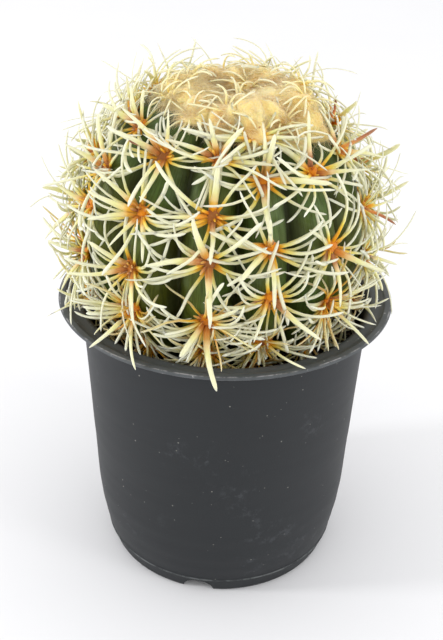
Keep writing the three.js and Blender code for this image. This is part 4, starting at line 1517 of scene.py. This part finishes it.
azimuth = (np.arange(WOOL_SIDES) * 2 * np.pi / WOOL_SIDES)[None, :]
share = np.linspace(0, 1, WOOL_RINGS + 1)[1:][::-1, None]
lift, dome = wool_lift(share, azimuth)
top = crown_point(share, azimuth, lift)
under_share = np.linspace(0.2, 1, UNDER_ROWS)[:, None]
under = crown_point(under_share, azimuth, WOOL_SEAT + 0 * azimuth)
wool_rows = np.concatenate([under, top])
apex_lift, apex_dome = wool_lift(np.zeros(1), np.zeros(1))
apex = crown_point(np.zeros(1), np.zeros(1), apex_lift)
seat = crown_point(np.zeros(1), np.zeros(1), WOOL_SEAT)
wool_points = np.concatenate([seat, wool_rows.reshape(-1, 3), apex])
wool_faces = [
    grid_faces(len(wool_rows), WOOL_SIDES) + 1,
    fan_faces(0, 1, WOOL_SIDES, False),
    fan_faces(len(wool_points) - 1, 1 + (len(wool_rows) - 1) * WOOL_SIDES, WOOL_SIDES, True),
]
# Low in the creases between tufts and high on their tops and at the wool's edge; the finish paints shade, a
# darker ochre, where it is low.
clear_of_crease_shade = np.maximum(dome, smooth(share, 0.7, 1.0))
clear_of_crease_shade = np.concatenate([[0], np.zeros(UNDER_ROWS * WOOL_SIDES), clear_of_crease_shade.ravel(), apex_dome])
wool_mesh = make_mesh("wool_cap", wool_points, wool_faces, {"dome": clear_of_crease_shade})
print(f"wool: {len(wool_rows)} rows of {WOOL_SIDES}")

# %% Felted wool
wool = Finish("crown_wool", {
    "Sheen Weight": 0.6, "Sheen Roughness": 0.4, "Specular IOR Level": 0.1,
    "Subsurface Weight": 0.3, "Subsurface Radius": (1.0, 0.7, 0.35), "Subsurface Scale": 0.003,
})
here = wool.place()
cloud = wool.noise(here, 130.0, 4.0, 0.6)
fluff = wool.noise(here, 1100.0, 4.0, 0.65)
clear_of_crease_shade_mark = wool.mark("dome")
wool_colour = wool.mix(cloud.between(0.35, 0.65), shade(255, 218, 138), shade(255, 233, 160))
# Painted shade: the creases between tufts are mixed towards a darker ochre.
wool_colour = wool.mix((1 - clear_of_crease_shade_mark.between(0.35, 0.8)) * 0.7, wool_colour, shade(206, 156, 80))
wool_colour = wool.mix(fluff.between(0.5, 0.7) * 0.3, wool_colour, shade(252, 238, 190))
wool.dress(wool_colour, 0.9 + 0.05 * cloud, wool.bump(fluff + cloud, 0.8, 0.0015))
wool_cap = add_object("wool_cap", wool_mesh, wool.material)
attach(wool_cap, "root")
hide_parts("crown_wool")

# %% Combing hairs over the wool
HAIRS = 9500
HAIR_LENGTH = 3.6


def wool_frames(share, azimuth, lift):
    """Places on the wool with the direction out of it and two directions along it."""
    place = crown_point(share, azimuth, lift)
    out = unit(crown_point(share, azimuth, lift + 1.0) - place)
    side = np.stack([np.cos(azimuth), np.sin(azimuth), 0 * azimuth], axis=-1) @ LEAN.T
    up = unit(np.cross(out, side))
    return place, out, up, unit(np.cross(up, out))


def comb(seed):
    """The plan of one coat of hairs. Each lies along the way from the middle of its nearest tuft, and
    those near the wool's edge are longer."""
    index = np.arange(HAIRS)
    share = 0.02 + 0.98 * np.sqrt(0.5 + 0.5 * wobble(index, seed, 6))
    azimuth = np.pi * (1 + wobble(index, seed, 8))
    lift, dome = wool_lift(share, azimuth)
    place, out, up, side = wool_frames(share, azimuth, lift)
    nearest = np.linalg.norm(place[:, None] - big_tufts[None], axis=-1).argmin(axis=1)
    away = place - big_tufts[nearest]
    heading = np.arctan2((away * side).sum(axis=1), (away * up).sum(axis=1))
    longer = 1 + 0.4 * smooth(share, 0.75, 1)
    return plan_spines(
        (place, out, up, side), (heading + 0.9 * wobble(index, seed, 10))[:, None], 0.0, ROOT_SINK,
        rise=np.radians(20 + 20 * wobble(index, seed, 12))[:, None],
        arch=np.radians(60 + 34 * wobble(index, seed, 14))[:, None],
        bend=np.radians(60 * wobble(index, seed, 16))[:, None],
        sway=0.0,
        twist=0.0,
        length=(HAIR_LENGTH * (1 + 0.45 * wobble(index, seed, 18)) * longer)[:, None],
        # The tint follows the tufts' height plus a draw, so hairs in the creases get the darker roots of
        # painted shade.
        tint=(dome + 0.35 * wobble(index, seed, 20))[:, None],
    )


print(f"{HAIRS} hairs in each coat")

# %% Two coats of hairs
HAIR_WIDTH = 0.1
HAIR_STATIONS = np.linspace(0, 1, 4)
HAIR_TAPER = np.array([1, 0.95, 0.75, 0.4])
HAIR_SIDES = 3

lint = Finish("wool_hair", {
    "Sheen Weight": 0.5, "Specular IOR Level": 0.2,
    "Subsurface Weight": 0.5, "Subsurface Radius": (1.0, 0.8, 0.5), "Subsurface Scale": 0.001,
})
along = lint.mark("along")
# Partly painted shade: hair roots are darker and more orange where the tint is low, in the creases between
# tufts, with a random share.
lint_root = lint.mix(lint.mark("tint").between(0.25, 1.0), shade(246, 196, 94), shade(255, 232, 146))
lint_colour = lint.mix(along, lint_root, shade(255, 235, 174))
lint.dress(lint_colour, 0.7 + 0.1 * along, lint.bump(lint.noise(lint.place(), 2000.0), 0.1, 0.0001))
for name, seed in (("wool_hairs", 5), ("wool_fluff", 77)):
    hair_plan = comb(seed)
    hair_shape = HAIR_WIDTH * HAIR_TAPER * np.ones((HAIRS, 1))
    hair_points, hair_faces, hair_marks = sweep(
        grow(hair_plan, HAIR_STATIONS), hair_plan, HAIR_STATIONS, hair_shape, hair_shape, HAIR_SIDES
    )
    del hair_marks["across"]
    hairs = add_object(name, make_mesh(name, hair_points, hair_faces, hair_marks), lint.material)
    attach(hairs, "root")
    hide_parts("crown_wool")

# %% [markdown]
# ## Young spines
#
# The youngest areoles follow the same steps up the ribs, under the wool. They push tufts of cream
# spines through it, which bend over and lie on it.

# %% Young spines in the wool
YOUNG_SPINES = 9
YOUNG_LENGTH = 12
YOUNG_TOP = 84

rib, row = np.meshgrid(np.arange(RIBS), np.arange(7), indexing="ij")
even = AREOLE_ROWS[:, :1] + row * AREOLE_ROWS[:, 1:]
young_latitude = even + 2 * wobble(rib, row, 51)
in_wool = (even > HIGHEST_AREOLE) & (young_latitude < YOUNG_TOP)
y_rib = rib[in_wool]
y_row = row[in_wool][:, None]
y_azimuth = rib_azimuth(y_rib)
y_share = (90 - young_latitude[in_wool]) / wool_edge(y_azimuth)
y_depth = 1.5 - 1.0 * smooth(y_share, 0.8, 1.0) + 0.7 * wobble(y_rib, y_row[:, 0], 503)
young_frames = wool_frames(y_share, y_azimuth, wool_lift(np.minimum(y_share, 1), y_azimuth)[0] - y_depth)
number = np.arange(YOUNG_SPINES)[None, :]
draw = drawer(y_rib[:, None], y_row, number)
young_plan = plan_spines(
    young_frames, draw(2 * np.pi * (number + 0.5) / YOUNG_SPINES, 0.4, 501), 0.6, 0.0,
    rise=np.radians(draw(48, 14, 521)),
    arch=np.radians(draw(86, 26, 541)),
    bend=np.radians(draw(0, 70, 561)),
    sway=np.radians(draw(0, 20, 581)),
    twist=np.radians(draw(0, 60, 601)),
    length=YOUNG_LENGTH * draw(1, 0.22, 621),
    tint=draw(0.5, 0.5, 641),
)
print(f"{len(y_rib)} young areoles")

# %% Make the young spines
YOUNG_WIDTH = 0.78
YOUNG_STATIONS = stations(10)

young_lines = grow(young_plan, YOUNG_STATIONS)
shape = needle_width(YOUNG_STATIONS, 0.9, 0.25, 0.15, 0.08) * np.ones((len(young_lines), 1))
young_mesh = make_mesh("young_spines", *sweep(
    young_lines, young_plan, YOUNG_STATIONS, YOUNG_WIDTH * shape, 0.75 * YOUNG_WIDTH * shape, FINE_SIDES
))
young_horn = horn(
    "young_horn",
    [(0.0, ORANGE), (0.1, AMBER), (0.25, shade(238, 208, 124)), (0.6, shade(240, 224, 164)), (1.0, CREAM)],
    [(0.0, YELLOW), (0.2, shade(238, 222, 158)), (0.6, shade(240, 232, 184)), (1.0, IVORY)],
)
young = add_object("young_spines", young_mesh, young_horn.material)
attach(young, "root")
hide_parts("crown_wool")

# %% [markdown]
# ## The soil
#
# Cactus soil is a dark, crumbly mix of peat, bark and grit. Little of it shows between the stem and
# the rim. It is one closed body: a bumpy top that dips under the stem, a side along the pot's wall
# and a flat underside over the pot's floor. The rows of its top lie closest together where the hole
# of the rootstock goes down.

# %% The soil's level
SOIL_DROP = 0.9
STEM_GAP = 0.6
PEG_GAP = 0.4
BOWL_SHIFT = 0.6


def soil_bumps(x, y):
    """Low uneven lumps: three crossed waves of different length."""
    return (
        0.5 * np.sin(0.45 * x + 0.3 * y) * np.sin(0.37 * y - 0.2 * x + 1)
        + 0.3 * np.sin(1.1 * x + 2) * np.sin(1.3 * y + 0.4)
        + 0.16 * np.sin(2.9 * x + 1.7 * y) * np.sin(2.6 * y - 1.2 * x)
    )


def soil_top(x, y):
    """The soil's level at a place: bumps at the top, dipping under the stem's lower half as its shell
    does, and down to the end of the rootstock within its hole."""
    level = SOIL_TOP - SOIL_DROP + soil_bumps(x, y)
    local_x = (x - STEM_CENTRE[0]) / (STEM_RADIUS + STEM_GAP)
    local_y = (y - stem_foot[1] * BOWL_SHIFT) / (STEM_RADIUS + STEM_GAP)
    shell = np.sqrt(np.clip(1 - local_x**2 - local_y**2, 0, 1))
    bowl = STEM_CENTRE[2] - (STEM_HALF_HEIGHT + STEM_GAP) * shell
    from_peg = np.hypot(x - stem_foot[0], y - stem_foot[1])
    peg = smooth(from_peg, ROOT_RADIUS + PEG_GAP, ROOT_RADIUS + 1.6)
    bowl = (ROOT_END - PEG_GAP) + (bowl - ROOT_END + PEG_GAP) * peg
    return np.minimum(level, bowl - 0.3 * peg)


print(f"the soil lies at {float(soil_top(np.array(0.0), np.array(-45.0))):.1f} mm in front of the stem")

# %% Soil body
SOIL_GAP = 0.3
SOIL_SIDES = 180

angle = (np.arange(SOIL_SIDES) * 2 * np.pi / SOIL_SIDES)[None, :]
outer = float(wall_radius(SOIL_TOP)) - WALL - SOIL_GAP
radii = np.concatenate([np.linspace(2, 8, 4), np.linspace(9, 12, 12), np.linspace(13, outer - 0.8, 52)])
radii = radii[::-1, None]
x = np.sin(angle) * radii
y = -np.cos(angle) * radii
top = np.stack([x, y, soil_top(x, y)], axis=-1)
side_heights = np.array([FLOOR_TOP + SOIL_GAP, 8.5, 21, 31, 68, SOIL_TOP - 2.2])[:, None]
side_radii = wall_radius(side_heights) - WALL - SOIL_GAP
side_radii[0, 0] = FOOT_RADIUS - FOOT_RING_WIDTH - 1
wall_rows = np.stack(
    [np.sin(angle) * side_radii, -np.cos(angle) * side_radii, side_heights + 0 * angle], axis=-1
)
soil_rows = np.concatenate([wall_rows, top])
centre_top = [0, 0, float(soil_top(np.array(0.0), np.array(0.0)))]
soil_points = np.concatenate([[[0, 0, FLOOR_TOP + SOIL_GAP]], soil_rows.reshape(-1, 3), [centre_top]])
soil_faces = [
    grid_faces(len(soil_rows), SOIL_SIDES) + 1,
    fan_faces(0, 1, SOIL_SIDES, False),
    fan_faces(len(soil_points) - 1, 1 + (len(soil_rows) - 1) * SOIL_SIDES, SOIL_SIDES, True),
]
print(f"soil: {len(soil_rows)} rows of {SOIL_SIDES}")

# %% Crumbly soil
earth = Finish("potting_soil", {"Specular IOR Level": 0.25})
here = earth.place()
crumb = earth.noise(here, 420.0, 5.0, 0.65)
bits = earth.cells(here, 520.0)
earth_colour = earth.mix(crumb.between(0.3, 0.7), shade(20, 15, 9), shade(52, 39, 25))
earth_colour = earth.mix(bits.between(0.25, 0.1) * 0.3, earth_colour, shade(120, 104, 84))
earth.dress(earth_colour, 0.85 + 0.1 * crumb, earth.bump(crumb + 0.4 * bits, 0.9, 0.0015))
soil = add_object("soil", make_mesh("soil", soil_points, soil_faces), earth.material)
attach(soil, "root")
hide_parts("soil")

# %% [markdown]
# ## Crumbs
#
# A crumb is an icosahedron, twelve points and twenty faces, with every point pushed in or out a little
# and the whole squashed. Its faces are found as the triples of points that are all near each other.
# The crumbs keep to a ring between the rootstock and the wall, and most of them are small.

# %% Loose crumbs
CRUMBS = 620
CRUMB_START = 27
CRUMB_SPAN = 21.5
CRUMB_SMALL = 0.45
CRUMB_RANGE = 0.55

golden = (1 + 5**0.5) / 2
corner_sets = [(0, a, b * golden) for a in (-1, 1) for b in (-1, 1)]
ball = np.array([p for c in corner_sets for p in (c, (c[1], c[2], c[0]), (c[2], c[0], c[1]))])
ball = unit(ball)
gaps = np.linalg.norm(ball[:, None] - ball[None], axis=-1)
near = gaps < 1.1
ball_faces = np.array([
    (a, b, c) for a in range(12) for b in range(a + 1, 12) for c in range(b + 1, 12)
    if near[a, b] and near[b, c] and near[a, c]
])
first, second, third = ball[ball_faces.T]
turned_in = (np.cross(second - first, third - first) * first).sum(axis=1) < 0
ball_faces[turned_in] = ball_faces[turned_in][:, ::-1]

index = np.arange(CRUMBS)
crumb_reach = CRUMB_START + CRUMB_SPAN * (0.5 + 0.5 * wobble(index, 21, 22)) ** 0.8
crumb_turn = np.pi * wobble(index, 23, 24)
crumb_x = np.sin(crumb_turn) * crumb_reach
crumb_y = -np.cos(crumb_turn) * crumb_reach
crumb_size = CRUMB_SMALL + CRUMB_RANGE * (0.5 + 0.5 * wobble(index, 25, 26)) ** 2
squash = np.stack([1 + 0.4 * wobble(index, 27, k) for k in range(3)], axis=-1)
rough_ball = ball[None] * (1 + 0.22 * wobble(index[:, None], np.arange(12)[None, :], 29))[..., None]
crumbs = rough_ball * squash[:, None] * crumb_size[:, None, None]
crumb_centre = np.stack([crumb_x, crumb_y, soil_top(crumb_x, crumb_y) + 0.25 * crumb_size], axis=-1)
crumb_points = crumbs + crumb_centre[:, None]
crumb_faces = (ball_faces[None] + (index * 12)[:, None, None]).reshape(-1, 3)
crumb_tint = np.repeat(0.5 + 0.5 * wobble(index, 31, 32), 12)
print(f"{len(crumb_centre)} crumbs")

# %% Grit
grit = Finish("grit", {"Specular IOR Level": 0.3})
tint = grit.mark("tint")
grit_cloud = grit.noise(grit.place(), 900.0)
grit_colour = grit.ramp(tint, [
    (0.0, shade(38, 29, 22)), (0.6, shade(84, 64, 47)),
    (0.85, shade(132, 114, 92)), (1.0, shade(190, 182, 168)),
])
grit_colour = grit.mix(grit_cloud * 0.4, grit_colour, shade(40, 32, 26))
grit.dress(grit_colour, 0.8 + 0.1 * grit_cloud, grit.bump(grit_cloud, 0.5, 0.0004))
crumb_mesh = make_mesh("soil_crumbs", crumb_points, [crumb_faces], {"tint": crumb_tint})
loose = add_object("soil_crumbs", crumb_mesh, grit.material)
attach(loose, "root")
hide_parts("soil")

# %% [markdown]
# ## Sizes and the end
#
# The box of the measured model and the box of this one are written side by side, so that the two can
# be compared.

# %% Compare the boxes and finish
visual_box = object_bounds()
for axis, letter in enumerate("xyz"):
    low = (visual_box[0][axis] - CAD_BOX[0][axis]) / MM
    high = (visual_box[1][axis] - CAD_BOX[1][axis]) / MM
    print(f"{letter}: visual box is {low:+.2f} mm at the low side and {high:+.2f} mm at the high side")
